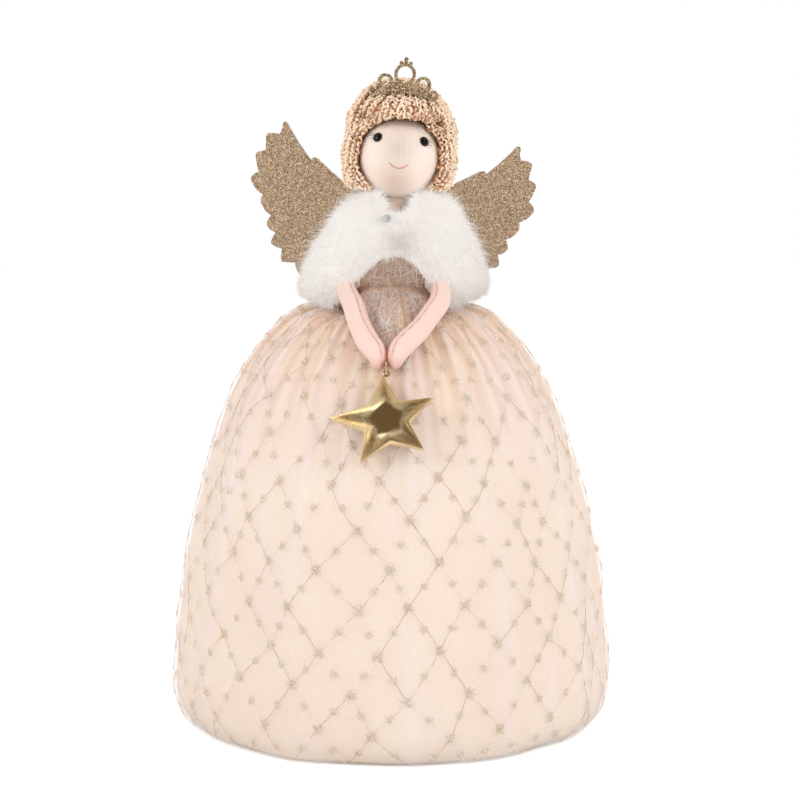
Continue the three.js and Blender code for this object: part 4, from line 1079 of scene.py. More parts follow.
def kinked(line, draw, thin, sides):
    """One knobbly strand that loops about a line (points, 3). Returns points, faces and each point's tone,
    painted light where the loop swings out and painted shade where it dips in.
    """
    run = run_of(line)
    even = np.linspace(0, run[-1], max(10, int(run[-1] / YARN_PITCH * YARN_STEPS_A_LOOP)))
    centre = at(even, run, line)
    along = unit(np.gradient(centre, axis=0))
    out = unit(centre - np.array(HEAD_FRAME.translation))
    side = unit(np.cross(along, out))
    out = np.cross(side, along)
    turn = even / YARN_PITCH * TAU
    way = np.array([1, 1, 1])[:, None] * turn
    for k, (pace, swing) in enumerate(YARN_DRIFT):
        way[k] += swing * np.sin(turn * pace + draw.uniform(0, TAU)) + draw.uniform(0, TAU)
    size = YARN_COIL * (0.8 + 0.3 * np.sin(turn * 0.37 + draw.uniform(0, TAU)))
    path = centre + out * (size * 0.85 * np.cos(way[0]))[:, None]
    path += side * (size * np.sin(way[1] * 0.87))[:, None]
    path += along * (0.75 * size * np.sin(way[2] * 1.21))[:, None]
    radii = thin * YARN_RADIUS * (0.9 + 0.22 * np.sin(turn * 1.9 + draw.uniform(0, TAU)))
    points, faces, _, _ = tubes(path[None], radii[None], out[None], sides=sides, pointed=False)
    # Painted light and shade: lighter where the coil swings out from the head, darker where it dips in,
    # shifted at random for each strand.
    tone = np.repeat(0.5 + 0.4 * np.cos(way[0]) + draw.uniform(-0.15, 0.2), sides)
    return points, faces, tone


def fringe_height(x):
    """Height of the fringe's lower edge: highest in its middle and a little higher on the right."""
    share = np.clip(x / FACE_HALF, -1, 1)
    return FRINGE_SIDE + (FRINGE_MIDDLE - FRINGE_SIDE) * (1 - share ** 2) + 1.5 * MM * share


GOLDEN = 0.618034  # spreads the strands' starts evenly without a pattern


def hair_lines(draw, count, inset, lean):
    """Lines of one layer from the crown down, each with its turn: those over the face end at the fringe."""
    lines = []
    for i in range(count):
        turn = (i + draw.uniform(-0.3, 0.3)) * TAU / count
        rank = i * GOLDEN % 1
        first = np.interp(rank * HAIR_RADIUS * 0.97, HAIR_LINE[:DOME_STEPS, 0], HAIR_RUN[:DOME_STEPS])
        run = np.linspace(first, HAIR_RUN[-1], STRAND_STEPS)
        drift = lean * draw.normal(0, 1) * np.sin(run / HAIR_RUN[-1] * math.pi)
        place = hair_point(turn + drift, run, inset + 0.5 * MM * math.sin(i * 2.4))
        x, y, z = place.T
        over_face = (y < -2 * MM) & (np.abs(x) < FACE_HALF + 1.8 * MM)
        over_face &= z < fringe_height(x) + draw.uniform(0.2, 1.0) * MM
        end = LEFT_HAIR_END if turn > math.pi else RIGHT_HAIR_END
        stop = np.flatnonzero(over_face | (z < end + draw.uniform(0, 1.8) * MM))
        if len(stop):
            place = place[:stop[0]]
        if len(place) > 6:
            lines.append((bend_from(turn), settled(place)))
    return lines


def edge_lines(side):
    """Strands down one inner edge of the hair: rows side by side along the face, each three deep."""
    lines = []
    end = LEFT_HAIR_END if side < 0 else RIGHT_HAIR_END
    for beside in EDGE_ROWS:
        for depth in EDGE_DEPTHS:
            z = np.linspace(FRINGE_SIDE + 3.5 * MM, end + 0.6 * MM, 60)
            x = np.sqrt(COVER_RADIUS ** 2 - z ** 2) + (beside + 0.3 * math.sin(depth)) * MM
            x += 0.35 * MM * np.sin(z / (2.2 * MM) + depth)
            limit = -np.sqrt(np.maximum(0, (HAIR_RADIUS - YARN_REACH) ** 2 - x ** 2)) * HAIR_DEPTH_SHARE
            lines.append(np.stack([side * x, np.maximum(depth * MM, limit), z], -1))
    return lines


def fringe_lines():
    """Strands along the fringe's under side, from side to side, that close it against the forehead."""
    lines = []
    for reach, above in FRINGE_ROWS:
        x = np.linspace(-FACE_HALF, FACE_HALF, 70)
        z = fringe_height(x) + above * MM
        y = -np.sqrt(np.maximum((reach * MM) ** 2 - x ** 2 - z ** 2, 0))
        lines.append(np.stack([x, y, z], -1))
    return lines


def hair_shell(name, turns, low, material):
    """A knobbly shell under the strands, from the height that low gives at each turn up to the crown."""
    stop = np.interp(-low, -HAIR_LINE[:, 1], HAIR_RUN)
    run = 0.3 * MM + (stop - 0.3 * MM) * np.linspace(1, 0, STRAND_STEPS)[:, None]
    knobs = SHELL_KNOB * ripple(hair_point(turns, run, SHELL_INSET), SHELL_KNOB_WIDTH, 62)
    points = settled(hair_point(turns, run, SHELL_INSET + knobs))
    # Painted shade: the shell is darker where its knobs sink in and lighter where they stand out.
    made = piece(name, placed(points.reshape(-1, 3), HEAD_FRAME), [grid_faces(STRAND_STEPS, len(turns))],
                 material, "hair_yarn", tone=(0.35 - 0.5 * knobs / MM).ravel())
    return thickened(made, SHELL_THICKNESS)


def build_hair():
    draw = np.random.default_rng(61)
    yarn = yarn_material("hair_yarn", linear(190, 126, 82), linear(224, 180, 140), linear(251, 226, 198))
    # The shells' deeper colour is painted shade, seen in the gaps between the strands.
    base = yarn_material("hair_base", linear(184, 118, 74), linear(214, 156, 110), linear(238, 190, 148))
    groups = {"fringe": [], "left": [], "right": [], "back_left": [], "back_right": []}
    for count, inset, sides, thin in HAIR_LAYERS:
        for turn, line in hair_lines(draw, count, inset * MM, 0.06):
            name = "left" if turn < 0 else "right"
            if abs(turn) < FRINGE_TURN:
                name = "fringe"
            elif abs(turn) >= LOCK_TURN:
                name = "back_" + name
            groups[name].append((line, sides, thin))
    for name, lines in (("left", edge_lines(-1)), ("right", edge_lines(1)), ("fringe", fringe_lines())):
        groups[name] += [(line, CLOSE_SIDES, CLOSE_SHARE) for line in lines]
    stands_for = {"fringe": "hair_fringe", "left": "hair_left", "right": "hair_right",
                  "back_left": "hair_back"}
    for name, lines in groups.items():
        strands = [kinked(placed(line, HEAD_FRAME), draw, thin, sides) for line, sides, thin in lines]
        points, faces = merged([strand[:2] for strand in strands])
        made = piece("hair_" + name + "_yarn", points, faces, yarn, "hair_yarn",
                     tone=np.concatenate([strand[2] for strand in strands]))
        if name in stands_for:
            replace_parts(made, stands_for[name])
    over_brow = fringe_height(25 * MM * np.sin(FRINGE_SHELL))
    hair_shell("hair_fringe_base", FRINGE_SHELL, over_brow + 3.4 * MM, base)
    ends = RIGHT_HAIR_END + (LEFT_HAIR_END - RIGHT_HAIR_END) * smooth_step((BACK_SHELL - math.pi) / 0.4 + 0.5)
    hair_shell("hair_back_base", BACK_SHELL, ends + 2.5 * MM, base)


# Arms: stuffed felt tubes over the skirt, sewn along the inner front, hands tied together

HAND_RADIUS, WRIST_RADIUS, ARM_RADIUS, WRIST_SHARE = 2.4 * MM, 3.6 * MM, 4.2 * MM, 0.88
HAND_GAP, HAND_OVERHANG, TIE_RADIUS, TIE_LENGTH = 1.3 * MM, 1 * MM, 0.5 * MM, 6.4 * MM
TIE_SHOWN, TIE_SWING, TIE_TWIST, TIE_STEPS = 0.45, 0.26 * MM, 26, 60
ARM_STEPS, ARM_COLUMNS = 120, 56
SEAM_TURN, SEAM_DEPTH, SEAM_RIDGE, ARM_CREASE = 0.45, 0.30 * MM, 0.22 * MM, 0.10 * MM
SHOULDER_PUFF, WRIST_PUFF, HANDS_DROP, HAND_FLAP = 0.4, 0.5, 0.8 * MM, 0.5
STITCH_MARKS, STITCH_SHARE = np.arange(0.05, 0.94, 0.0165), 0.010
STITCH_SINK = np.array((-0.36, -0.20, -0.20, -0.36)) * MM

# For each side: the shoulder, marks on the way (x in mm, share of the way forward, mm above the skirt),
# how far the line shifts near the hands, and its bows (mm to the right, share of the way, width)
ARM_SHOULDER = {-1: (-21.5 * MM, -8 * MM, 207 * MM), 1: (22.5 * MM, -8 * MM, 207 * MM)}
ARM_MARKS = {-1: ((-20, 0.331, 8.7), (-17.3, 0.546, 6.8), (-14.4, 0.748, 8.5), (-9.4, 0.913, 12.3)),
             1: ((21.2, 0.331, 9.4), (19.6, 0.546, 7.8), (14.4, 0.748, 9.1), (5.6, 0.913, 12.0))}
HANDS_SHIFT = {-1: 1.2 * MM, 1: -0.36 * MM}
ARM_BOWS = {-1: (), 1: ((2.0, 0.42, 0.18), (1.0, 0.72, 0.12))}


def arm_route(side):
    """The arm's middle line: shoulder, points that lie a height above the skirt, and the hand."""
    def above_skirt(x, share, stand):
        y = HANG.y * share
        turn = math.acos((math.hypot(x * MM, y) / SKIRT_RADIUS) ** (SIDE_POWER / 2))
        top = BELLY_HEIGHT + (CROWN_HEIGHT - BELLY_HEIGHT) * math.sin(turn) ** (2 / TOP_POWER)
        return (x * MM, y, top + stand * MM)

    hand = (HANG.x + side * (HAND_GAP / 2 + HAND_RADIUS), HANG.y + TIE_RADIUS,
            HANG.z + TIE_RADIUS - HAND_OVERHANG)
    return [ARM_SHOULDER[side]] + [above_skirt(*mark) for mark in ARM_MARKS[side]] + [hand]


def build_arm(name, side, felt, stitch):
    """One arm and its seam; side is -1 on the left and 1 on the right."""
    line = through(arm_route(side), ARM_STEPS)
    share = np.linspace(0, 1, ARM_STEPS)
    plain = np.where(share < WRIST_SHARE, ARM_RADIUS + (WRIST_RADIUS - ARM_RADIUS) * share / WRIST_SHARE,
                     WRIST_RADIUS + (HAND_RADIUS - WRIST_RADIUS) * (share - WRIST_SHARE) / (1 - WRIST_SHARE))
    puff = SHOULDER_PUFF * hump(share, 0, 0.2) + WRIST_PUFF * hump(share, 0.82, 0.12)
    radius = (plain + puff * MM) * np.sqrt(np.clip((1 - share) / 0.03 + 0.02, 0, 1))
    line[:, 0] += HANDS_SHIFT[side] * hump(share, 0.90, 0.07) * smooth_step((1 - share) / 0.05)
    for reach, middle, width in ARM_BOWS[side]:
        line[:, 0] += reach * MM * hump(share, middle, width)
    line[:, 2] -= HANDS_DROP * smooth_step((share - 0.94) / 0.06)
    along = unit(np.gradient(line, axis=0))
    upward = unit(np.cross(np.cross(along, (0, -0.45, 0.9)), along))
    inward = np.cross(along, upward) * side
    inward *= np.sign((inward * np.array((-side, 0, 0))).sum(-1, keepdims=True) + TINY)

    turn = np.arange(ARM_COLUMNS) * TAU / ARM_COLUMNS
    off = np.angle(np.exp(1j * (turn[None] - SEAM_TURN)))
    groove = SEAM_DEPTH * hump(off, 0, 0.08) * smooth_step(share * 12)[:, None]
    ridge = SEAM_RIDGE * hump(off, 0.3, 0.16)
    creases = ARM_CREASE * np.sin(share * 95 + 2 * np.sin(share * 14))[:, None] * hump(off, 0, 0.7)
    size = radius[:, None] - (groove - ridge + creases) * (radius / ARM_RADIUS)[:, None] ** 0.5
    flap = 1 + HAND_FLAP * smooth_step((share - 0.2) / 0.3) * smooth_step((1 - share) / 0.06)
    widened = np.where(np.sin(turn) > 0, flap[:, None], 1)
    points = (line[:, None] + upward[:, None] * (size * np.cos(turn))[..., None]
              + inward[:, None] * (size * np.sin(turn) * widened)[..., None])
    points += ripple(points, 5 * MM, 71)[..., None] * 0.10 * MM * unit(points - line[:, None])
    gap = (0.12 + 0.5 * smooth_step((share - 0.955) / 0.02))[:, None] * MM
    apart = side * (points[..., 0] - HANG.x)
    points[..., 0] = HANG.x + side * np.maximum(apart, gap)

    # Tone: painted shadow in the crease where the hands meet, painted shade on the arm's inner side, darker
    # along the seam, blush at the fingertips.
    crease = hump(np.maximum(apart - gap, 0), 0, 0.7 * MM) * (share > 0.7)[:, None]
    blush = smooth_step((share - 0.92) / 0.08)[:, None] * 0.35
    inner = 0.22 * smooth_step((turn - SEAM_TURN) / 0.3) * (turn < math.pi)
    tone = np.clip(0.5 * hump(off, 0, 0.09) + blush + inner + crease, 0, 1)
    if side < 0:
        points, tone = points[:, ::-1], tone[:, ::-1]
    arm = piece(name + "_felt", *capped(points), felt, "pink_felt", tone=np.append(tone.ravel(), (0, 1)))
    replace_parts(arm, name)

    paths = []
    for mark in STITCH_MARKS:
        place = np.linspace(mark, mark + STITCH_SHARE, len(STITCH_SINK))
        middle, up, inn = (at(place, share, way) for way in (line, upward, inward))
        out = np.interp(place, share, radius) + STITCH_SINK
        wide = np.interp(place, share, flap) * math.sin(SEAM_TURN)
        paths.append(middle + (up * math.cos(SEAM_TURN) + inn * wide[:, None]) * out[:, None])
    paths = np.array(paths)
    radii = np.full(paths.shape[:2], 0.12 * MM)
    strand_piece(name + "_stitches", paths, radii, 5, stitch, "pink_thread")


def build_arms():
    felt = felt_material("pink_felt", linear(246, 214, 201), linear(224, 154, 138))
    stitch = cloth_material("brown_stitch", linear(188, 138, 128), linear(160, 110, 104), 0.0003)
    build_arm("left_arm", -1, felt, stitch)
    build_arm("right_arm", 1, felt, stitch)

    share = np.linspace(0, 1, TIE_STEPS)
    strands = [np.stack([HANG.x + (share - 0.5) * TIE_SHOWN * TIE_LENGTH,
                         HANG.y + TIE_SWING * np.cos(share * TIE_TWIST + phase),
                         HANG.z + TIE_SWING * np.sin(share * TIE_TWIST + phase)], -1)
               for phase in (0, math.pi)]
    radii = np.full((len(strands), TIE_STEPS), 0.25 * MM)
    red = cloth_material("red_thread", linear(190, 104, 92), linear(160, 80, 72), 0.0003)
    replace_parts(strand_piece("hand_thread", np.array(strands), radii, 6, red, "pink_thread"), "hand_tie")


# Fur stole: a soft body under dense strands

FUR_TOP, FUR_BOTTOM = 239 * MM, 190.5 * MM
FUR_ARCH_RISE, FUR_ARCH_HALF = 22 * MM, 40 * DEGREES
FUR_NOTCH_DEPTH, FUR_NOTCH_HALF = 9 * MM, 34 * DEGREES
FUR_DEPTH_SHARE, FUR_SHIFT = 0.74, 3.5 * MM

# The stole's section at each share of the way from hem to collar: share of its height, share of its radius
FUR_SECTION = np.array([(0, .93), (.1, 1), (.35, 1), (.65, 1), (.88, 1), (.98, .93), (1, .75), (.96, .55)])
FUR_SECTION_AT = (0, 0.08, 0.30, 0.58, 0.78, 0.87, 0.94, 1)

# Its radius in mm at its hem, middle and top
FUR_OUTLINE = through(np.array([(0, 44), (1, 36.5), (2, 21)]), 60, centripetal=False)
FUR_CELL, FUR_DRAWN_IN = 1.4 * MM, 2.3 * MM

# How deep the roots stand in the skin, in mm, and by what share strands are shorter or longer
ROOT_DEPTH, HEM_ROOT, ARCH_ROOT, LEFT_ROOT = 3.3, 1.0, -1.8, 0.8
HEM_TRIM, SIDE_TRIM, PARTING_TRIM, ARCH_TRIM, ARM_GROWTH = 0.45, 0.15, 0.4, 0.3, 0.8

# Each coat: count of strands, length, thickness and unevenness
FUR_COATS = [(11500, 7.2 * MM, 0.13 * MM, 0.16)] * 5
GUARD_COAT = (10000, 11.5 * MM, 0.06 * MM, 0.3)
ARCH_STRANDS, ARCH_THICKNESS = 5000, 0.13 * MM

# A strand's thickness at each step of its way, and those steps
FUR_TAPER = np.array((0.9, 1.0, 0.75, 0.0))
FUR_STEPS = np.linspace(0, 1, len(FUR_TAPER))[None, :, None]


def fur_point(turn, way):
    """Place on the stole's skin: its turn (0 faces front) and its way from the hem over the collar's roll."""
    bend = bend_from(turn)

    def arch(half):
        return np.maximum(0, np.cos(np.minimum(np.abs(bend), half) / half * math.pi / 2))

    low = FUR_BOTTOM + FUR_ARCH_RISE * arch(FUR_ARCH_HALF)
    high = FUR_TOP - FUR_NOTCH_DEPTH * arch(FUR_NOTCH_HALF)
    height = low + (high - low) * np.interp(way, FUR_SECTION_AT, FUR_SECTION[:, 0])
    climb = (height - FUR_BOTTOM) / (FUR_TOP - FUR_BOTTOM)
    radius = np.interp(climb * 2, FUR_OUTLINE[:, 0], FUR_OUTLINE[:, 1]) * MM
    radius = radius * np.interp(way, FUR_SECTION_AT, FUR_SECTION[:, 1])
    return np.stack([radius * np.sin(turn) + FUR_SHIFT * climb,
                     -radius * np.cos(turn) * FUR_DEPTH_SHARE, height], -1)


def fur_strands(draw, count, length, thickness, spread):
    """Strands rooted all over the stole's skin: they flow down, stand out at the hem and collar, part in
    front and fall longer beside the arms. Returns points, faces and each point's tone, which holds painted
    shade: darker at the roots and greyer in the middle of the front."""
    turn = draw.uniform(0, TAU, count)
    way = draw.uniform(0, 1, count)
    root = fur_point(turn, way)
    sideways = unit(fur_point(turn + 0.01, way) - root)
    upward = unit(fur_point(turn, way + 0.01) - root)
    outward = unit(np.cross(sideways, upward))
    bend = bend_from(turn)
    tuft = np.stack([ripple(root, 5 * MM, 80 + k) for k in range(3)], -1)
    wisp = np.stack([ripple(root, 1.6 * MM, 90 + k) for k in range(3)], -1)
    collar = smooth_step((way - 0.62) / 0.25)[:, None]
    hem = 1 - smooth_step(way / 0.25)[:, None]
    parting = (hump(bend, 0, 0.5) * smooth_step((way - 0.45) / 0.2) * (way < 0.86))[:, None]
    over_neck = (hump(bend, 0, 0.6) * smooth_step((way - 0.82) / 0.08))[:, None]
    arch = (hump(bend, 0, 0.75, power=4) * (1 - smooth_step((way - 0.1) / 0.2)))[:, None]
    leaning = np.tanh(bend / 0.12)[:, None]
    flow = -upward * (1 - collar) * 0.7 * (1 - 0.85 * hem) * (1 - arch)
    flow += upward * (collar * 0.15 - arch * 0.25)
    flow += sideways * leaning * (parting * 0.9 - over_neck * 0.5) + upward * over_neck * 0.5
    lead = unit(outward * 0.75 + flow + 0.28 * tuft + 0.22 * wisp + draw.normal(0, spread, (count, 3)))
    droop = (np.array((0, 0, -0.35)) - upward * (1 - collar) * 0.3) * (1 - 0.75 * hem) * (1 - arch)
    droop = droop + 0.25 * wisp
    low_side = smooth_step((np.abs(bend) - 1.0) / 0.3)[:, None]
    by_arm = hump(np.abs(bend), 0.70, 0.28)[:, None] * hem
    droop = droop - (0, 0, 0.6) * by_arm
    kept = 1 - (HEM_TRIM + SIDE_TRIM * low_side) * hem - PARTING_TRIM * parting
    kept = kept * (1 - ARCH_TRIM * arch) * (1 + ARM_GROWTH * by_arm)
    reach = length * draw.uniform(0.55, 1.15, (count, 1, 1)) * kept[:, None]
    left = smooth_step((-bend - 0.5) / 0.5)[:, None]
    deep = (ROOT_DEPTH + HEM_ROOT * hem + ARCH_ROOT * arch + LEFT_ROOT * left) * MM
    curve = FUR_STEPS * lead[:, None] + FUR_STEPS ** 2 * droop[:, None] * 0.5
    path = (root - outward * deep)[:, None] + reach * curve
    radii = thickness * draw.uniform(0.7, 1.25, (count, 1)) * FUR_TAPER
    points, faces, strand, along = tubes(path, radii, sides=3)
    # Painted shade: each strand is darker at its root, and the strands in the front's middle below the neck
    # are greyer.
    shade = 0.8 * hump(bend, 0.06, 0.25) * hump(way, 0.4, 0.3)
    return points, faces, 0.35 + 0.6 * along + (draw.uniform(-0.2, 0.2, count) - shade)[strand]


def arch_strands(draw, count):
    """Short strands round the arch over the dress, on its inner edge, leading down and outward."""
    turn = draw.uniform(-0.72, 0.72, count)
    root = fur_point(turn, 0.01)
    outward = away(root)
    root = root - outward * draw.uniform(1, 6, (count, 1)) * MM + (0, 0, 2 * MM)
    lead = unit(0.6 * outward + (0, 0, -0.6) + draw.normal(0, 0.25, (count, 3)))
    path = root[:, None] + FUR_STEPS * lead[:, None] * draw.uniform(2.2, 4.2, (count, 1, 1)) * MM
    radii = ARCH_THICKNESS * draw.uniform(0.7, 1.25, (count, 1)) * FUR_TAPER
    points, faces, strand, along = tubes(path, radii, sides=3)
    # Painted shade: the tone is darker at the roots.
    return points, faces, 0.3 + 0.6 * along + draw.uniform(-0.2, 0.2, count)[strand]


def build_stole():
    fur = fur_material()
    skin = cloth_material("fur_skin", linear(246, 240, 235), linear(253, 249, 245))
    core = softened("fur_body", "fur_stole", skin, FUR_CELL, -FUR_DRAWN_IN)
    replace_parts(core, "fur_stole")
    draw = np.random.default_rng(81)
    coats = [("fur_hairs_%d" % i, fur_strands(draw, *coat)) for i, coat in enumerate(FUR_COATS, 1)]
    coats.append(("fur_guard_hairs", fur_strands(draw, *GUARD_COAT)))
    coats.append(("fur_arch_hairs", arch_strands(draw, ARCH_STRANDS)))
    for name, (points, faces, tone) in coats:
        hairs = piece(name, points, faces, fur, "white_fur", tone=tone)
        hairs.visible_shadow = False
        hairs.visible_diffuse = False


# Star: two puffed foil shells, gathered at their seam

STAR_DROP, STAR_NOTCH, STAR_SEAM, STAR_CROWN = 25.1 * MM, 10.6 * MM, 0.5 * MM, 4.1 * MM

# Each tip's turn in degrees and its reach in mm
STAR_TIPS = ((-3.7, 20.8), (62.6, 22.7), (128.8, 20.9), (210.0, 21.7), (272.5, 24.2))
STAR_SIDE_STEPS, STAR_RINGS, STAR_BOW = 64, 44, -0.35 * MM
WADDING_CROWN, WADDING_INSET = 3.2 * MM, 3 * MM
LOOP_HALF, LOOP_LENGTH, LOOP_SWING, LOOP_TWIST = 1.3 * MM, 2.2 * MM, 0.17 * MM, 14

# Radius and depth of the section of the ring that the thread runs through, in mm
TAB_SECTION = ((1.6, 0), (1.6, 0.5), (1.4, 0.62), (0.95, 0.62), (0.75, 0.5), (0.75, 0))
TAB_DROP, TAB_OUT = 3.5 * MM, 0.15 * MM


def star_rim():
    """The star's outline round its centre: tips and notches, with sides that bow in slightly."""
    marks = []
    for i, (turn, reach) in enumerate(STAR_TIPS):
        after = STAR_TIPS[(i + 1) % len(STAR_TIPS)][0]
        marks += [(turn, reach * MM), (turn + (after - turn) % 360 / 2, STAR_NOTCH)]
    rim = []
    for i, (turn, reach) in enumerate(marks):
        after_turn, after_reach = marks[(i + 1) % len(marks)]
        here, there = (np.array((r * math.sin(t * DEGREES), r * math.cos(t * DEGREES)))
                       for t, r in ((turn, reach), (after_turn, after_reach)))
        share = np.linspace(0, 1, STAR_SIDE_STEPS, endpoint=False)[:, None]
        bow = np.sin(share * math.pi) * STAR_BOW
        side = here + (there - here) * share
        rim.append(side * (1 + bow / np.linalg.norm(side, axis=1, keepdims=True)))
    return np.concatenate(rim)


def star_shell(side, stand, shrink, wrinkles):
    """Rings of one puffed face from rim to middle, in the star's own frame: across, up, out."""
    rim = star_rim()
    reach = np.linalg.norm(rim, axis=1)
    run = run_of(rim)
    draw = np.random.default_rng(91 + (side > 0))
    phase = run / (1.35 * MM) * TAU + 1.3 * np.sin(run / (5 * MM)) + draw.uniform(0, TAU)
    rings = []
    for share in 1 - np.linspace(0, 0.985, STAR_RINGS) ** 1.35:
        drawn = share * ((1 - share) * (STAR_NOTCH - shrink) + share * (reach - shrink)) / reach
        swell = math.sqrt(max(0, 1 - share ** 2.8))
        gather = wrinkles * np.sin(phase) * hump(share, 1, 0.28) * min(1, (1 - share) / 0.03)
        height = STAR_SEAM * 0.5 + stand * swell + gather
        rings.append(np.stack([rim[:, 0] * drawn, rim[:, 1] * drawn - STAR_DROP, side * height], -1))
    return np.array(rings)


def build_star():
    foil = foil_material()
    for name, side in (("front", 1), ("back", -1)):
        rings = star_shell(side, STAR_CROWN, 0, 0.5 * MM)
        flat = rings[:1] * (1, 1, 0) + (0, 0, side * 0.15 * MM)
        rings = np.concatenate([flat, rings])
        points, faces = capped(placed(rings[::-side], STAR_FRAME))
        shell = piece("star_" + name + "_foil", points, faces, foil, "gold_foil", body="star")
        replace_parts(shell, "star_" + name)
    inside = np.concatenate([star_shell(1, WADDING_CROWN, WADDING_INSET, 0)[::-1],
                             star_shell(-1, WADDING_CROWN, WADDING_INSET, 0)])
    wadding = cloth_material("wadding", linear(246, 241, 234), linear(234, 226, 216), 0.001)
    filling = piece("star_wadding", *capped(placed(inside, STAR_FRAME)), wadding, "wadding", body="star")
    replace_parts(filling, "star_filling")

    share = np.linspace(0, TAU, 90, endpoint=False)
    strands = []
    for phase in (0, math.pi):
        lift = np.where(np.sin(share) > 0, 0, -LOOP_LENGTH)
        swing = LOOP_SWING * np.cos(LOOP_TWIST * share + phase)
        loop = np.stack([LOOP_SWING * np.sin(LOOP_TWIST * share + phase),
                         LOOP_HALF * np.sin(share) + lift + swing * np.sin(share),
                         LOOP_HALF * np.cos(share) + swing * np.cos(share)], -1)
        strands.append(np.concatenate([loop, loop[:2]]))
    strands = placed(np.array(strands), STAR_FRAME)
    thread = cloth_material("loop_cotton", linear(226, 200, 160), linear(200, 170, 126), 0.0003)
    loop = strand_piece("loop_thread", strands, np.full(strands.shape[:2], 0.18 * MM), 6, thread, "cotton",
                        body="thread_loop")
    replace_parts(loop, "thread_loop")

    turn = np.arange(40) * TAU / 40
    rings = []
    for r, z in TAB_SECTION:
        rings.append(np.stack([r * MM * np.sin(turn), r * MM * np.cos(turn) - TAB_DROP,
                               0 * turn - TAB_OUT - z * MM], -1))
    piece("star_tab_foil", *wound(placed(np.array(rings), STAR_FRAME)), foil, "gold_foil", body="star")


# Pieces that keep the shape of their solids, and two that are only softened

def build_rigid():
    nodes = frame["nodes"]
    leatherette = glitter_material("glitter_leatherette", 0.00036, linear(116, 89, 64), linear(170, 142, 113),
                                   linear(220, 195, 162), 0.3)
    sheet = glitter_material("glitter_sheet", 0.00040, linear(84, 64, 43), linear(148, 121, 87),
                             linear(218, 195, 154), 0.4)
    for node, material in (("left_wing", leatherette), ("right_wing", leatherette), ("tiara", sheet),
                           ("base_disc", card_material()), ("tree_cone", card_material()),
                           ("head_ball", wood_material()), ("neck_dowel", wood_material())):
        nodes[node].data.materials.clear()
        nodes[node].data.materials.append(material)
    pad = softened("wing_pad_felt", "wing_pad", felt_material("pad_felt", linear(236, 214, 204),
                   linear(220, 170, 156)), 0.7 * MM, 0.1 * MM)
    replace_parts(pad, "wing_pad")
    wadding = cloth_material("petticoat_wadding", linear(248, 243, 236), linear(236, 228, 218), 0.0012)
    petticoat = softened("petticoat_wadding", "petticoat", wadding, 2.5 * MM, -1.0 * MM)
    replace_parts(petticoat, "petticoat")


# Light, floor and camera

WORLD_LIGHT, FLOOR_GLOW, CARD_GLOW = 0.80, 0.42, (0.17, 0.118, 0.072, 1)
CAMERA_PLACE, CAMERA_DIP, CAMERA_LENS = (0.004, -1.0, 0.272), 7.25, 99.4

# Each lamp's place, width and power; all shine at the doll's middle
LAMPS = {"key": ((-1.35, -1.0, 1.0), 0.8, 8.5), "fill": ((1.3, -1.0, 0.7), 1.0, 7.5),
         "back": ((0.3, 1.4, 1.1), 0.9, 6)}
LIT_PLACE = (0, 0, 0.15)

# Dark cards that only the gloss of the foil and the eyes shows: centre, facing, half width, half height
DARK_CARDS = {"dark_card_above": ((0.25, -0.80, 0.97), (0, 0.72, -0.82), 0.95, 0.60),
              "dark_card_ahead": ((0.36, -1.60, 0.47), (0, 1, 0), 0.82, 0.45),
              "dark_card_beside": ((1.35, -0.80, 0.62), (-1, 0.1, 0), 0.85, 0.62),
              "dark_card_below": ((0.45, -0.75, 0.003), (0, 0, 1), 0.75, 0.5)}


def looked_at(nodes, links):
    """1 for what is seen straight, in gloss or through clear parts, and 0 for the light it gives."""
    rays = nodes.new("ShaderNodeLightPath")
    shown = rays.outputs["Is Camera Ray"]
    for kind in ("Is Glossy Ray", "Is Transmission Ray"):
        either = nodes.new("ShaderNodeMath")
        either.operation = "MAXIMUM"
        links.new(shown, either.inputs[0])
        links.new(rays.outputs[kind], either.inputs[1])
        shown = either.outputs[0]
    return shown


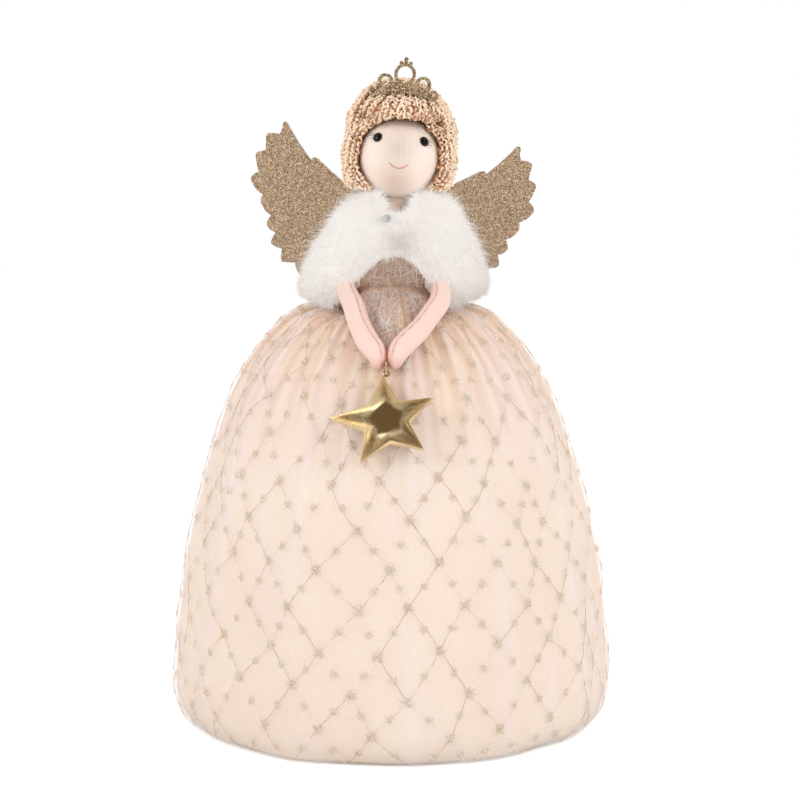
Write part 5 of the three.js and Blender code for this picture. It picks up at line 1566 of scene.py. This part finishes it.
def build_world(scene):
    """A white page all round, which lights the doll less than it looks."""
    world = bpy.data.worlds.new("studio")
    scene.world = world
    world.use_nodes = True
    nodes, links = world.node_tree.nodes, world.node_tree.links
    light = nodes["Background"]
    light.inputs["Color"].default_value = (1, 0.99, 0.98, 1)
    light.inputs["Strength"].default_value = WORLD_LIGHT
    page = nodes.new("ShaderNodeBackground")
    page.inputs["Color"].default_value = WHITE
    page.inputs["Strength"].default_value = 1.0
    join = nodes.new("ShaderNodeMixShader")
    links.new(looked_at(nodes, links), join.inputs[0])
    links.new(light.outputs[0], join.inputs[1])
    links.new(page.outputs[0], join.inputs[2])
    links.new(join.outputs[0], nodes["World Output"].inputs[0])


def build_stage():
    scene = bpy.context.scene
    scene.view_settings.view_transform = "Standard"
    build_world(scene)

    bpy.ops.mesh.primitive_plane_add(size=6)
    floor = bpy.context.object
    floor.name = "floor"
    made = Shader("floor", (0.9, 0.9, 0.9, 1), Roughness=0.9, Emission_Color=WHITE)
    glow = made.sum(looked_at(made.nodes, made.links), FLOOR_GLOW, "MULTIPLY")
    made.links.new(glow, made.surface.inputs["Emission Strength"])
    floor.data.materials.append(made.material)

    dark = Shader("dark_card", (0, 0, 0, 1), Roughness=1.0, Emission_Color=CARD_GLOW, Emission_Strength=1.0)
    for name, (centre, facing, wide, high) in DARK_CARDS.items():
        card = bpy.data.meshes.new(name)
        aim = Vector(facing).to_track_quat("Z", "Y").to_matrix()
        corners = [Vector(centre) + aim @ Vector((x * wide, y * high, 0))
                   for x, y in ((-1, -1), (1, -1), (1, 1), (-1, 1))]
        card.from_pydata(corners, [], [(0, 1, 2, 3)])
        card.materials.append(dark.material)
        reflector = bpy.data.objects.new(name, card)
        for ray in ("camera", "diffuse", "transmission", "volume_scatter", "shadow"):
            setattr(reflector, "visible_" + ray, False)
        scene.collection.objects.link(reflector)

    for name, (place, width, power) in LAMPS.items():
        data = bpy.data.lights.new(name, "AREA")
        data.shape = "DISK"
        data.size = width
        data.energy = power
        lamp = bpy.data.objects.new(name, data)
        lamp.location = place
        lamp.rotation_euler = (Vector(LIT_PLACE) - Vector(place)).to_track_quat("-Z", "Y").to_euler()
        scene.collection.objects.link(lamp)

    camera = bpy.data.objects.new("camera", bpy.data.cameras.new("camera"))
    camera.location = CAMERA_PLACE
    camera.rotation_euler = (math.radians(90 - CAMERA_DIP), 0, 0)
    camera.data.sensor_width = 36
    camera.data.lens = CAMERA_LENS
    scene.collection.objects.link(camera)
    scene.camera = camera


build_stage()
build_skirt()
build_body()
build_face()
build_neck()
build_hair()
build_arms()
build_stole()
build_star()
build_rigid()
